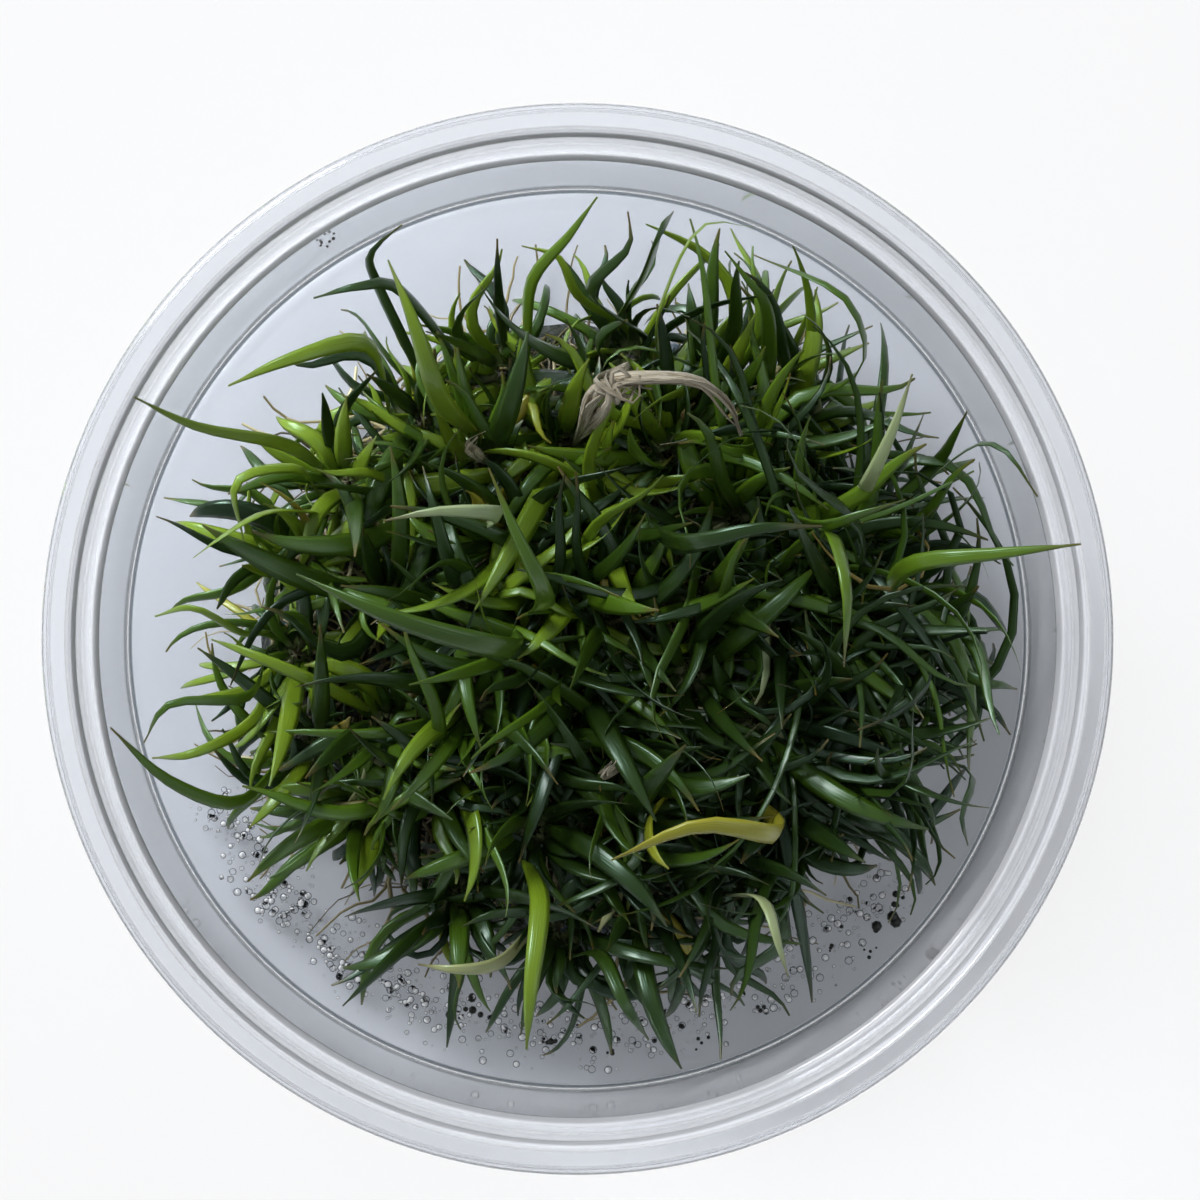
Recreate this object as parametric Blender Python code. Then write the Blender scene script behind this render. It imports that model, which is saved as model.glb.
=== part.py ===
"""Tissue culture lilaeopsis in its clear cup, with the lid off, as it comes from the laboratory.

The cup is one turned solid. The plants stand in it as they grow: a mat of roots on the cup's floor,
and on the mat the plantlets, each a crown with a tuft of strap leaves lofted along curved midribs.

Run it with: blender --background --python part.py
The cup stands on Z = 0 with its axis on Z, and +Y is the top of the photograph.
Lengths are millimetres until a mesh is made of them.
"""

import math
import random

import bpy
from mathutils import Matrix, Vector
from mathutils.bvhtree import BVHTree

MM = 0.001
DOWN = Vector((0, 0, -1))

# The cup: its wall runs down past the raised floor as a foot ring, and a ledge below the lip
# holds the lid's plug
RIM_DIAMETER = 101.0
CUP_HEIGHT = 37.0
WALL = 0.6
FLOOR = 0.8
FOOT_LIFT = 1.0
FLOOR_INSET = 5.7
FLOOR_CORNER = 0.8
DRAFT = 0.8
LEDGE_DROP = 7.4
LEDGE_WIDTH = 1.3
LEDGE_EDGE = 0.8
LEDGE_CORNER = 0.4
BAND_DRAFT = 0.4
FLARE = 1.1
LIP_BEND = 0.7
LIP_FLAT = 1.2
SKIRT_DROP = 4.0
CUP_SIDES = 64
ARC_STEPS = 2

# The mat of roots
MAT_SHARE = 0.68
MAT_HEIGHT = 7.5
MAT_EDGE = 2.2
MAT_LUMP = 0.9
MAT_WAVE = 0.04
MAT_SECTORS = 28
MAT_RINGS = (0.22, 0.45, 0.66, 0.84, 0.95)

# The plantlets: how many stand on each ring, and the ring's radius as a share of the mat's
PLANTLET_RINGS = ((18, 0.90), (13, 0.65), (8, 0.39), (4, 0.16))
RING_JITTER = 1.1
RING_STAGGER = 0.2
LEAVES_EACH = 7
CROWN_RADIUS = 1.2
CROWN_HEIGHT = 2.2
CROWN_END = 0.75
CROWN_GIRTH = 0.45
SPROUT = 3.4
SPROUT_CLIMB = 55

# The leaves: one climbs at LEAF_CLIMB degrees, bends over by LEAF_BEND and twists by LEAF_ROLL
LEAF_LENGTH = (11.0, 24.0)
LEAF_WIDTH = (1.4, 2.5)
LEAF_THICKNESS = 0.6
LEAF_FULLEST = 0.45
GROWN_SPANS = 4
LANDMARK_SPANS = 7
LEAF_CLIMB = (52, 86)
LEAF_BEND = (25, 135)
LEAF_ROLL = 50
OUTWARD_PULL = 0.5
STRAY = 0.7
SEED = 11

# Room between neighbours, from these shares of a leaf's length on: nearer its base it may touch
# its own crown, and a little further the leaves beside it
CLEAR = 0.3
CLEAR_OF_CROWN = 0.1
CLEAR_OF_TUFT = 0.25
TRIES = 80

# The foliage is a low dome: this high in the middle, lower by the fall where it meets the wall
DOME_TOP = 43.0
DOME_FALL = 13.0
DOME_REACH = 0.97

# Free room between the plants and the wall, where tweezers reach in: (name, x, y) of its middle
FREE_ROOM = (("lower_left", -26.5, -28.0), ("lower_right", 27.5, -28.0))
FREE_SIDE = 6.0

# Leaves that can be told apart in the photograph, on a cup of this rim and height: the width, then
# x, y and z of where the leaf comes out of the clump, of a point on its bend and of its tip
PHOTO_RIM = 101.0
PHOTO_HEIGHT = 37.0
LANDMARK_ROLL = 0.5
LOOSENED = 2.5
SOCKETS_TRIED = 4
SOCKET_BEHIND = 5.0
HEADING_WEIGHT = 3.0
LANDMARK_LEAVES = {
    "left_long": (1.4, (-28.2, 18.7, 26), (-36.0, 20.1, 33), (-41.6, 22.7, 38.2)),
    "left_low_long": (1.4, (-32.6, -15.8, 20), (-39.0, -13.6, 27), (-44.3, -8.4, 32)),
    "left_loop": (1.1, (-31.7, -5.5, 21), (-39.0, -6.2, 26), (-41.8, -10.0, 22)),
    "left_fork": (1.2, (-31.7, -8.0, 15), (-36.9, -11.0, 20), (-41.4, -11.6, 16)),
    "left_hook": (0.9, (-32.2, 0.4, 16), (-37.0, 3.0, 20), (-41.2, 2.2, 15)),
    "left_upper_loop": (1.1, (-27.3, 16.6, 16), (-33.0, 15.2, 20), (-32.5, 9.4, 15)),
    "left_blunt": (1.5, (-29.7, 12.3, 21), (-33.6, 10.2, 24), (-37.0, 7.8, 23)),
    "upper_left_pair": (1.9, (-20.0, 28.3, 24), (-27.0, 26.8, 29), (-33.4, 24.2, 27)),
    "upper_left_short": (1.4, (-17.0, 33.6, 21), (-21.0, 33.8, 25), (-25.4, 32.8, 23)),
    "upper_hook": (1.2, (-19.3, 34.2, 20), (-19.8, 37.0, 25), (-16.8, 39.6, 27)),
    "big_upper_left": (2.4, (-13.0, 22.8, 33), (-15.4, 29.8, 39), (-17.8, 35.6, 38)),
    "top_short": (1.1, (-7.6, 32.3, 18), (-7.7, 35.5, 23), (-7.7, 38.4, 25)),
    "top_tall": (1.3, (-4.5, 34.5, 19), (-1.0, 38.6, 23), (1.9, 42.4, 25)),
    "top_bow": (1.2, (0.2, 33.3, 15), (-1.8, 37.0, 18), (-5.4, 38.2, 17)),
    "top_right_tall": (1.5, (1.2, 33.3, 22), (4.9, 37.4, 27), (4.8, 40.8, 28)),
    "top_broad": (2.1, (6.9, 36.0, 20), (8.0, 38.6, 24), (9.0, 41.0, 25)),
    "top_bent": (1.4, (7.8, 31.3, 25), (11.6, 39.2, 29), (16.8, 39.4, 27)),
    "right_top_short": (1.5, (18.3, 31.3, 24), (16.2, 34.4, 27), (14.1, 37.1, 27)),
    "right_top_arc": (1.1, (27.0, 25.6, 22), (25.6, 32.4, 29), (16.9, 36.9, 24)),
    "right_spear": (1.5, (27.9, 15.1, 26), (30.0, 20.0, 31), (31.7, 25.1, 33)),
    "right_spear_low": (1.6, (30.2, 15.1, 21), (31.8, 18.6, 25), (33.1, 21.7, 27)),
    "right_up": (1.4, (34.8, 17.0, 16), (36.4, 19.6, 20), (37.5, 21.9, 23)),
    "right_arc": (1.0, (36.4, 17.5, 24), (40.3, 18.2, 30), (43.7, 13.5, 31)),
    "right_long": (1.9, (31.5, 7.0, 32), (39.3, 8.0, 37), (47.2, 8.9, 38.8)),
    "right_drop": (1.5, (38.6, -3.9, 19), (40.8, -4.4, 19), (42.8, -4.9, 16)),
    "right_low": (1.4, (38.4, -5.6, 13), (40.6, -7.0, 14), (42.4, -9.4, 12)),
    "right_bottom": (1.4, (37.8, -12.5, 15), (37.2, -17.0, 19), (38.0, -20.1, 16)),
    "bottom_bright": (2.0, (-3.6, -25.0, 24), (-4.4, -32.8, 28), (-4.9, -39.4, 25)),
    "bottom_right": (1.6, (2.2, -30.6, 18), (4.6, -35.2, 22), (6.9, -38.9, 18)),
    "bottom_pale": (1.8, (17.8, -25.0, 25), (19.2, -29.2, 28), (20.2, -32.4, 26)),
    "bottom_left": (1.6, (-7.5, -31.3, 20), (-11.6, -31.8, 23), (-15.4, -31.4, 21)),
    "middle_left_wide": (2.6, (-6.4, -1.0, 33), (-16.8, 1.8, 40), (-26.4, 6.1, 38)),
    "middle_left_pale": (2.0, (-7.4, 11.8, 34), (-13.0, 12.0, 38), (-18.2, 11.1, 37)),
    "middle_diagonal": (2.0, (-3.0, 3.8, 34), (-5.8, 10.0, 40), (-8.3, 16.0, 41)),
    "middle_right": (2.2, (10.0, 9.0, 33), (17.0, 10.4, 38), (23.0, 10.6, 37)),
    "right_bright": (2.2, (23.0, 10.9, 30), (27.4, 12.0, 34), (31.0, 13.2, 34)),
    "middle_down": (1.8, (24.0, 10.4, 32), (24.6, 4.0, 36), (24.9, -3.0, 33)),
    "lower_yellow": (2.2, (19.2, -18.6, 29), (11.6, -17.6, 34), (3.2, -21.0, 31)),
}


def mesh_object(name, points, faces, material):
    """One named object from points in millimetres."""
    mesh = bpy.data.meshes.new(name)
    mesh.from_pydata([Vector(point) * MM for point in points], [], faces)
    mesh.validate()
    mesh.materials.append(material)
    obj = bpy.data.objects.new(name, mesh)
    bpy.context.scene.collection.objects.link(obj)
    return obj


def plain_material(name, colour, roughness, transmission=0.0):
    material = bpy.data.materials.new(name)
    material.use_nodes = True
    shader = material.node_tree.nodes["Principled BSDF"]
    shader.inputs["Base Color"].default_value = (*colour, 1.0)
    shader.inputs["Roughness"].default_value = roughness
    shader.inputs["Transmission Weight"].default_value = transmission
    return material


def arc(middle, radius, start, end, steps):
    """Points on a circle round `middle`, from one angle to another, in degrees."""
    angles = [math.radians(start + (end - start) * step / steps) for step in range(steps + 1)]
    return [(middle[0] + radius * math.cos(a), middle[1] + radius * math.sin(a)) for a in angles]


def cup_outline(steps):
    """The cup's section as radius and height: up the inside, over the lip and down the outside,
    which follows the inside at WALL. Each quarter bend is made in `steps`, each eighth in half of them."""
    rim = RIM_DIAMETER / 2
    floor_top = FOOT_LIFT + FLOOR
    ledge = CUP_HEIGHT - LEDGE_DROP
    floor_radius = rim - FLOOR_INSET
    wall_radius = floor_radius + DRAFT
    band_radius = wall_radius + LEDGE_WIDTH
    mouth_radius = band_radius + BAND_DRAFT
    lip_inside = mouth_radius + FLARE
    lip_outside = lip_inside + LIP_FLAT
    rim_bend = rim - lip_outside
    corner = (floor_radius - FLOOR_CORNER, floor_top + FLOOR_CORNER)
    edge = (wall_radius + LEDGE_EDGE, ledge - LEDGE_EDGE)
    groove = (band_radius - LEDGE_CORNER, ledge + LEDGE_CORNER)
    flare_foot = (mouth_radius + LIP_BEND, CUP_HEIGHT - FLARE)
    flare_top = (lip_inside, CUP_HEIGHT - LIP_BEND)
    turn = (lip_outside, CUP_HEIGHT - rim_bend)
    skirt = CUP_HEIGHT - SKIRT_DROP
    few = steps // 2

    inside = [(0, floor_top)] + arc(corner, FLOOR_CORNER, -90, 0, steps)
    inside += arc(edge, LEDGE_EDGE, 180, 90, steps) + arc(groove, LEDGE_CORNER, -90, 0, steps)
    lip = arc(flare_foot, LIP_BEND, 180, 135, few) + arc(flare_top, LIP_BEND, 135, 90, few)
    lip += arc(turn, rim_bend, 90, 0, steps) + [(rim, skirt), (rim - WALL, skirt)]
    lip += arc(turn, rim_bend - WALL, 0, 90, steps) + arc(flare_top, LIP_BEND - WALL, 90, 135, few)
    lip += arc(flare_foot, LIP_BEND - WALL, 135, 180, few)
    outside = arc(groove, LEDGE_CORNER + WALL, 0, -90, steps) + arc(edge, LEDGE_EDGE - WALL, 90, 180, steps)
    outside += [(floor_radius + WALL, 0), (floor_radius, 0), (floor_radius, FOOT_LIFT), (0, FOOT_LIFT)]
    return inside + lip + outside


def turned(outline, sides):
    """Points and faces of an outline turned round Z. Its first and last points lie on the axis."""
    ring = outline[1:-1]
    points = [(0, 0, outline[0][1]), (0, 0, outline[-1][1])]
    for side in range(sides):
        angle = math.tau * side / sides
        points += [(radius * math.cos(angle), radius * math.sin(angle), z) for radius, z in ring]
    faces = []
    for side in range(sides):
        here = 2 + side * len(ring)
        there = 2 + (side + 1) % sides * len(ring)
        faces.append((0, here, there))
        faces += [(here + i, here + i + 1, there + i + 1, there + i) for i in range(len(ring) - 1)]
        faces.append((1, there + len(ring) - 1, here + len(ring) - 1))
    return points, faces


def mat_lump(angle, share):
    """How far the mat's top is raised or sunk by its lumps."""
    return MAT_LUMP * math.sin(3 * angle + 7 * share) * math.cos(5 * angle - 9 * share)


def root_mat():
    """Points and faces of the low cushion of roots, CLEAR above the cup's floor."""
    radius = MAT_SHARE * (RIM_DIAMETER / 2 - FLOOR_INSET)
    bottom = FOOT_LIFT + FLOOR + CLEAR
    points = [(0, 0, bottom + MAT_HEIGHT)]
    for share in MAT_RINGS:
        for sector in range(MAT_SECTORS):
            angle = math.tau * sector / MAT_SECTORS
            reach = radius * share * (1 + MAT_WAVE * math.sin(4 * angle + 1))
            height = MAT_EDGE + (MAT_HEIGHT - MAT_EDGE) * (1 - share ** 4) + mat_lump(angle, share)
            points.append((reach * math.cos(angle), reach * math.sin(angle), bottom + height))
    for sector in range(MAT_SECTORS):
        angle = math.tau * sector / MAT_SECTORS
        reach = radius * (1 + MAT_WAVE * math.sin(4 * angle + 1))
        points.append((reach * math.cos(angle), reach * math.sin(angle), bottom))
    points.append((0, 0, bottom))
    rings = [1 + MAT_SECTORS * index for index in range(len(MAT_RINGS) + 1)]
    faces = []
    for sector in range(MAT_SECTORS):
        after = (sector + 1) % MAT_SECTORS
        faces.append((0, 1 + sector, 1 + after))
        for near, far in zip(rings, rings[1:]):
            faces.append((near + sector, far + sector, far + after, near + after))
        faces.append((len(points) - 1, rings[-1] + after, rings[-1] + sector))
    return points, faces


class Obstacle:
    """A closed mesh that leaves keep clear of."""

    def __init__(self, points, faces):
        self.tree = BVHTree.FromPolygons([Vector(point) for point in points], faces)
        self.low = [min(point[axis] for point in points) for axis in range(3)]
        self.high = [max(point[axis] for point in points) for axis in range(3)]

    def meets(self, other):
        apart = any(self.low[a] > other.high[a] or other.low[a] > self.high[a] for a in range(3))
        return not apart and bool(self.tree.overlap(other.tree))


def free_room_box(middle_x, middle_y):
    """A box from the floor to above the foliage, which no leaf enters."""
    half = FREE_SIDE / 2 + CLEAR
    low, high = FOOT_LIFT + FLOOR, DOME_TOP + CLEAR
    corners = [(x, y) for x, y in ((-half, -half), (half, -half), (half, half), (-half, half))]
    points = [(middle_x + x, middle_y + y, z) for z in (low, high) for x, y in corners]
    sides = [(i, (i + 1) % 4, (i + 1) % 4 + 4, i + 4) for i in range(4)]
    return Obstacle(points, sides + [(3, 2, 1, 0), (4, 5, 6, 7)])


def blade_share(share):
    """A leaf's width along it: slender at the base, full half way, and pointed at the tip."""
    rise = min(share / LEAF_FULLEST, 1)
    fall = max((share - LEAF_FULLEST) / (1 - LEAF_FULLEST), 0)
    return (0.5 + 0.5 * rise * rise * (3 - 2 * rise)) * (1 - fall ** 2.4)


class Leaf:
    """A strap leaf: a fine route for its midrib, a width, and a roll about the midrib at its tip."""

    def __init__(self, route, side, width, roll, spans):
        self.width = width
        self.spans = spans
        self.roll = roll
        self.route = route
        self.lengths = [0.0]
        for start, end in zip(route, route[1:]):
            self.lengths.append(self.lengths[-1] + (end - start).length)
        self.sides = []
        for index in range(len(route)):
            ahead = self.direction(index)
            side = (side - ahead * side.dot(ahead)).normalized()
            self.sides.append(side)

    def direction(self, index):
        before = self.route[max(index - 1, 0)]
        after = self.route[min(index + 1, len(self.route) - 1)]
        return (after - before).normalized()

    def station(self, share):
        """The midrib's point, the blade's side and its direction at a share of the length."""
        target = share * self.lengths[-1]
        index = next(i for i in range(1, len(self.route)) if self.lengths[i] >= target - 1e-6)
        span = self.lengths[index] - self.lengths[index - 1]
        part = (target - self.lengths[index - 1]) / span
        point = self.route[index - 1].lerp(self.route[index], part)
        ahead = self.direction(index - 1).lerp(self.direction(index), part).normalized()
        side = self.sides[index - 1].lerp(self.sides[index], part)
        side = (side - ahead * side.dot(ahead)).normalized()
        return point, Matrix.Rotation(self.roll * share, 3, ahead) @ side, ahead

    def ring(self, share, extra=0.0):
        """Four corners round the blade: the keel below, one edge, the crest above, the other edge."""
        point, side, ahead = self.station(share)
        half_width = side * (self.width * blade_share(share) / 2 + extra)
        thin = LEAF_THICKNESS * (0.5 + 0.5 * blade_share(share)) / 2 + extra
        half_thick = ahead.cross(side).normalized() * thin
        return [point - half_thick, point + half_width, point + half_thick, point - half_width]

    def tube(self, first_share, extra):
        """The leaf as an obstacle, grown by `extra` on every side, from a share of its length on."""
        shares = [first_share] + [i / self.spans for i in range(1, self.spans)]
        shares = [share for share in shares if share >= first_share]
        points = [corner for share in shares for corner in self.ring(share, extra)]
        points.append(self.route[-1] + self.direction(len(self.route) - 1) * extra)
        return Obstacle(points, tube_faces(list(range(4)), len(points), 0))


def tube_faces(base, count, first):
    """Faces from the ring `base` along rings of four to a point, the last of `count` from `first`."""
    faces = []
    rings = [base] if first else []
    rings += [list(range(start, start + 4)) for start in range(first, first + count - 1, 4)]
    for near, far in zip(rings, rings[1:]):
        faces += [(near[i], near[(i + 1) % 4], far[(i + 1) % 4], far[i]) for i in range(4)]
    tip = first + count - 1
    faces += [(rings[-1][i], rings[-1][(i + 1) % 4], tip) for i in range(4)]
    if not first:
        faces.append((3, 2, 1, 0))
    return faces


class Plantlet:
    """A crown that stands on the mat, with a socket for each leaf round its side."""

    def __init__(self, x, y, spin, ground):
        self.leaves = {}
        self.angles = [spin + math.tau * k / LEAVES_EACH for k in range(LEAVES_EACH)]
        reach = CROWN_END * CROWN_RADIUS
        under = [(x + reach * math.cos(a), y + reach * math.sin(a)) for a in self.angles]
        hits = [ground.ray_cast(Vector((*spot, DOME_TOP)), DOWN)[0] for spot in under]
        self.foot = Vector((x, y, max(hit.z for hit in hits if hit) + CLEAR))
        half_step = math.pi / LEAVES_EACH
        self.bottom = [self.on_crown(a, CROWN_END, 0) for a in self.angles]
        self.middle = [self.on_crown(a + half_step, 1, CROWN_GIRTH) for a in self.angles]
        self.top = [self.on_crown(a, CROWN_END, 1) for a in self.angles]

    def on_crown(self, angle, radius_share, height_share):
        reach = CROWN_RADIUS * radius_share
        offset = (reach * math.cos(angle), reach * math.sin(angle), CROWN_HEIGHT * height_share)
        return self.foot + Vector(offset)

    def socket(self, index):
        """Where a leaf starts: the middle of its socket, its heading and the side of its blade."""
        angle = self.angles[index]
        start = self.on_crown(angle, CROWN_END, 0.5)
        return start, angle, Vector((-math.sin(angle), math.cos(angle), 0))

    def mesh(self):
        """Points and faces of the crown and its leaves, as one closed skin."""
        n = LEAVES_EACH
        points = self.bottom + self.middle + self.top
        faces = [tuple(reversed(range(n))), tuple(range(2 * n, 3 * n))]
        for k in range(n):
            after = (k + 1) % n
            faces.append((k, after, n + k))
            faces.append((n + k, 2 * n + after, 2 * n + k))
            socket = [k, n + k, 2 * n + k, n + (k - 1) % n]
            leaf = self.leaves.get(k)
            if leaf is None:
                faces.append(tuple(socket))
                continue
            first = len(points)
            rings = [corner for i in range(1, leaf.spans) for corner in leaf.ring(i / leaf.spans)]
            points = points + rings + [leaf.route[-1]]
            faces += tube_faces(socket, len(rings) + 1, first)
        return points, faces


def along(heading, elevation):
    """The direction with a heading in plan and an elevation, both in radians."""
    level = math.cos(elevation)
    return Vector((level * math.cos(heading), level * math.sin(heading), math.sin(elevation)))


def smooth_route(points, steps):
    """A Catmull-Rom curve through the points."""
    ends = [points[0] * 2 - points[1]] + points + [points[-1] * 2 - points[-2]]
    route = [points[0]]
    for a, b, c, d in zip(ends, ends[1:], ends[2:], ends[3:]):
        for step in range(1, steps + 1):
            t = step / steps
            route.append(0.5 * ((2 * b) + (c - a) * t + (2 * a - 5 * b + 4 * c - d) * t * t
                                + (3 * b - a - 3 * c + d) * t ** 3))
    return route


def grown_route(rng, start, angle, outward):
    """A midrib that climbs from its socket, turns outwards and arches over."""
    steps = 14
    step = rng.uniform(*LEAF_LENGTH) / steps
    climb = rng.uniform(*LEAF_CLIMB)
    bend = rng.uniform(*LEAF_BEND)
    turn = (outward - angle + math.pi) % math.tau - math.pi
    drift = OUTWARD_PULL * rng.uniform(0.2, 1.6) * turn + rng.gauss(0, STRAY)
    route = [start]
    for index in range(steps):
        share = (index + 0.5) / steps
        elevation = math.radians(climb - bend * share ** 1.6)
        route.append(route[-1] + along(angle + drift * share, elevation) * step)
    return route


def under_dome(route):
    """Whether a midrib stays under the foliage's dome."""
    reach = RIM_DIAMETER / 2 - FLOOR_INSET
    for point in route:
        share = math.hypot(point.x, point.y) / reach
        if share > DOME_REACH or point.z > DOME_TOP - DOME_FALL * share ** 2:
            return False
    return True


def crown_places(rng, mat_radius):
    """Where the crowns stand, ring by ring, and how each is turned."""
    for count, share in PLANTLET_RINGS:
        lead = rng.uniform(0, math.tau)
        for index in range(count):
            angle = lead + math.tau * (index + rng.uniform(-RING_STAGGER, RING_STAGGER)) / count
            reach = mat_radius * share + rng.uniform(-RING_JITTER, RING_JITTER)
            yield reach * math.cos(angle), reach * math.sin(angle), rng.uniform(0, math.tau)


def likely_sockets(plantlets, exit_point, bend_point):
    """The free sockets that a leaf seen in the photograph may grow from, the likeliest first."""
    heading = (bend_point - exit_point).normalized()
    root = exit_point - heading * SOCKET_BEHIND
    ranked = []
    for number, plantlet in enumerate(plantlets):
        away = math.hypot(root.x - plantlet.foot.x, root.y - plantlet.foot.y)
        for index, angle in enumerate(plantlet.angles):
            onward = heading.x * math.cos(angle) + heading.y * math.sin(angle)
            if index not in plantlet.leaves:
                ranked.append((away - HEADING_WEIGHT * onward, number, index))
    return [(plantlets[number], index) for _, number, index in sorted(ranked)[:SOCKETS_TRIED]]


def is_clear(leaf, plantlet, fixed, others):
    """Whether a leaf keeps its clearance from the cup, the mat, the free room and other leaves."""
    whole = leaf.tube(CLEAR_OF_CROWN, CLEAR)
    outer = leaf.tube(CLEAR_OF_TUFT, CLEAR)
    if any(whole.meets(obstacle) for obstacle in fixed):
        return False
    for owner, tubes in others.items():
        mine = outer if owner is plantlet else whole
        if any(mine.meets(tube) for tube in tubes):
            return False
    return True


def add_leaf(leaf, plantlet, index, others):
    plantlet.leaves[index] = leaf
    others[plantlet].append(leaf.tube(CLEAR_OF_CROWN, 0.0))


def landmark_leaf(rng, plantlet, index, points, width, fixed, others):
    """A leaf from a socket through the photograph's points, loosened a little where it is not clear."""
    start, angle, side = plantlet.socket(index)
    sprout = start + along(angle, math.radians(SPROUT_CLIMB)) * SPROUT
    for attempt in range(TRIES):
        loose = LOOSENED * attempt / TRIES
        moved = [point + Vector((rng.gauss(0, 0.2), rng.gauss(0, 0.2), rng.gauss(0, 1))) * loose
                 for point in points]
        route = smooth_route([start, sprout] + moved, 5)
        leaf = Leaf(route, side, width, rng.uniform(-LANDMARK_ROLL, LANDMARK_ROLL), LANDMARK_SPANS)
        if is_clear(leaf, plantlet, fixed, others):
            return leaf
    return None


def add_landmark_leaves(rng, plantlets, fixed, others):
    scale = Vector((RIM_DIAMETER / PHOTO_RIM, RIM_DIAMETER / PHOTO_RIM, CUP_HEIGHT / PHOTO_HEIGHT))
    missed = []
    for name, (width, *spots) in LANDMARK_LEAVES.items():
        points = [Vector(spot) * scale for spot in spots]
        for plantlet, index in likely_sockets(plantlets, points[0], points[1]):
            leaf = landmark_leaf(rng, plantlet, index, points, width, fixed, others)
            if leaf:
                add_leaf(leaf, plantlet, index, others)
                break
        else:
            missed.append(name)
    return missed


def add_grown_leaves(rng, plantlets, fixed, others):
    empty = 0
    for index in range(LEAVES_EACH):
        for plantlet in plantlets:
            if index in plantlet.leaves:
                continue
            start, angle, side = plantlet.socket(index)
            outward = math.atan2(plantlet.foot.y, plantlet.foot.x)
            for _ in range(TRIES):
                route = grown_route(rng, start, angle, outward)
                width = rng.uniform(*LEAF_WIDTH)
                roll = math.radians(rng.uniform(-LEAF_ROLL, LEAF_ROLL))
                if not under_dome(route):
                    continue
                leaf = Leaf(route, side, width, roll, GROWN_SPANS)
                if is_clear(leaf, plantlet, fixed, others):
                    add_leaf(leaf, plantlet, index, others)
                    break
            else:
                empty += 1
    return empty


def grow_plantlets(cup, mat):
    """All the plantlets, with the leaves of the photograph first and the others grown round them."""
    rng = random.Random(SEED)
    mat_obstacle = Obstacle(*mat)
    mat_radius = MAT_SHARE * (RIM_DIAMETER / 2 - FLOOR_INSET)
    plantlets = [Plantlet(*place, mat_obstacle.tree) for place in crown_places(rng, mat_radius)]
    others = {plantlet: [Obstacle(*plantlet.mesh())] for plantlet in plantlets}
    fixed = [Obstacle(*cup), mat_obstacle] + [free_room_box(x, y) for _, x, y in FREE_ROOM]
    missed = add_landmark_leaves(rng, plantlets, fixed, others)
    empty = add_grown_leaves(rng, plantlets, fixed, others)
    print("landmark leaves left out:", missed, "sockets left closed:", empty)
    return plantlets


def main():
    for obj in list(bpy.data.objects):
        bpy.data.objects.remove(obj)
    clear = plain_material("clear_cup", (0.80, 0.84, 0.88), 0.08, transmission=0.9)
    roots = plain_material("pale_roots", (0.42, 0.38, 0.24), 0.7)
    green = plain_material("leaf_green", (0.06, 0.13, 0.02), 0.38)
    cup = turned(cup_outline(ARC_STEPS), CUP_SIDES)
    mat = root_mat()
    mesh_object("cup", *cup, clear)
    mesh_object("root_mat", *mat, roots)
    for number, plantlet in enumerate(grow_plantlets(cup, mat), 1):
        mesh_object(f"plantlet_{number:02d}", *plantlet.mesh(), green)


main()
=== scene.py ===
"""The looks of the tissue culture lilaeopsis in its clear cup.

The plantlets grow by the same code as the solids of part.py, so each leaf of a solid is here again,
finer, and more leaves fill the tufts. Lengths are millimetres until a mesh is made.
"""

import math
import random
from collections import namedtuple

import bpy
from mathutils import Matrix, Vector
from mathutils.bvhtree import BVHTree


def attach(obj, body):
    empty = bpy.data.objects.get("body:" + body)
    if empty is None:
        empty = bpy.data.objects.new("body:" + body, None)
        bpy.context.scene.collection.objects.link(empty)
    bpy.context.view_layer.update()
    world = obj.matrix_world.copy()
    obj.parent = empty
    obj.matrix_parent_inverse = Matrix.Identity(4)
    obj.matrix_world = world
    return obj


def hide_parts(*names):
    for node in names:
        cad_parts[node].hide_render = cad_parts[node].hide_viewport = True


MM = 0.001
DOWN = Vector((0, 0, -1))

# The cup: its wall runs down past the raised floor as a foot ring, and a ledge below the lip
# holds the lid's plug
RIM_DIAMETER = 101.0
CUP_HEIGHT = 37.0
WALL = 0.6
FLOOR = 0.8
FOOT_LIFT = 1.0
FLOOR_INSET = 5.7
FLOOR_CORNER = 0.8
DRAFT = 0.8
LEDGE_DROP = 7.4
LEDGE_WIDTH = 1.3
LEDGE_EDGE = 0.8
LEDGE_CORNER = 0.4
BAND_DRAFT = 0.4
FLARE = 1.1
LIP_BEND = 0.7
LIP_FLAT = 1.2
SKIRT_DROP = 4.0
CUP_SIDES = 64
ARC_STEPS = 2

# The mat of roots
MAT_SHARE = 0.68
MAT_HEIGHT = 7.5
MAT_EDGE = 2.2
MAT_LUMP = 0.9
MAT_WAVE = 0.04
MAT_SECTORS = 28
MAT_RINGS = (0.22, 0.45, 0.66, 0.84, 0.95)
MAT_DOME = 4

# The plantlets: how many stand on each ring, and the ring's radius as a share of the mat's
PLANTLET_RINGS = ((18, 0.90), (13, 0.65), (8, 0.39), (4, 0.16))
RING_JITTER = 1.1
RING_STAGGER = 0.2
LEAVES_EACH = 7
CROWN_RADIUS = 1.2
CROWN_HEIGHT = 2.2
CROWN_END = 0.75
CROWN_GIRTH = 0.45
SPROUT = 3.4
SPROUT_CLIMB = 55

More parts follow.
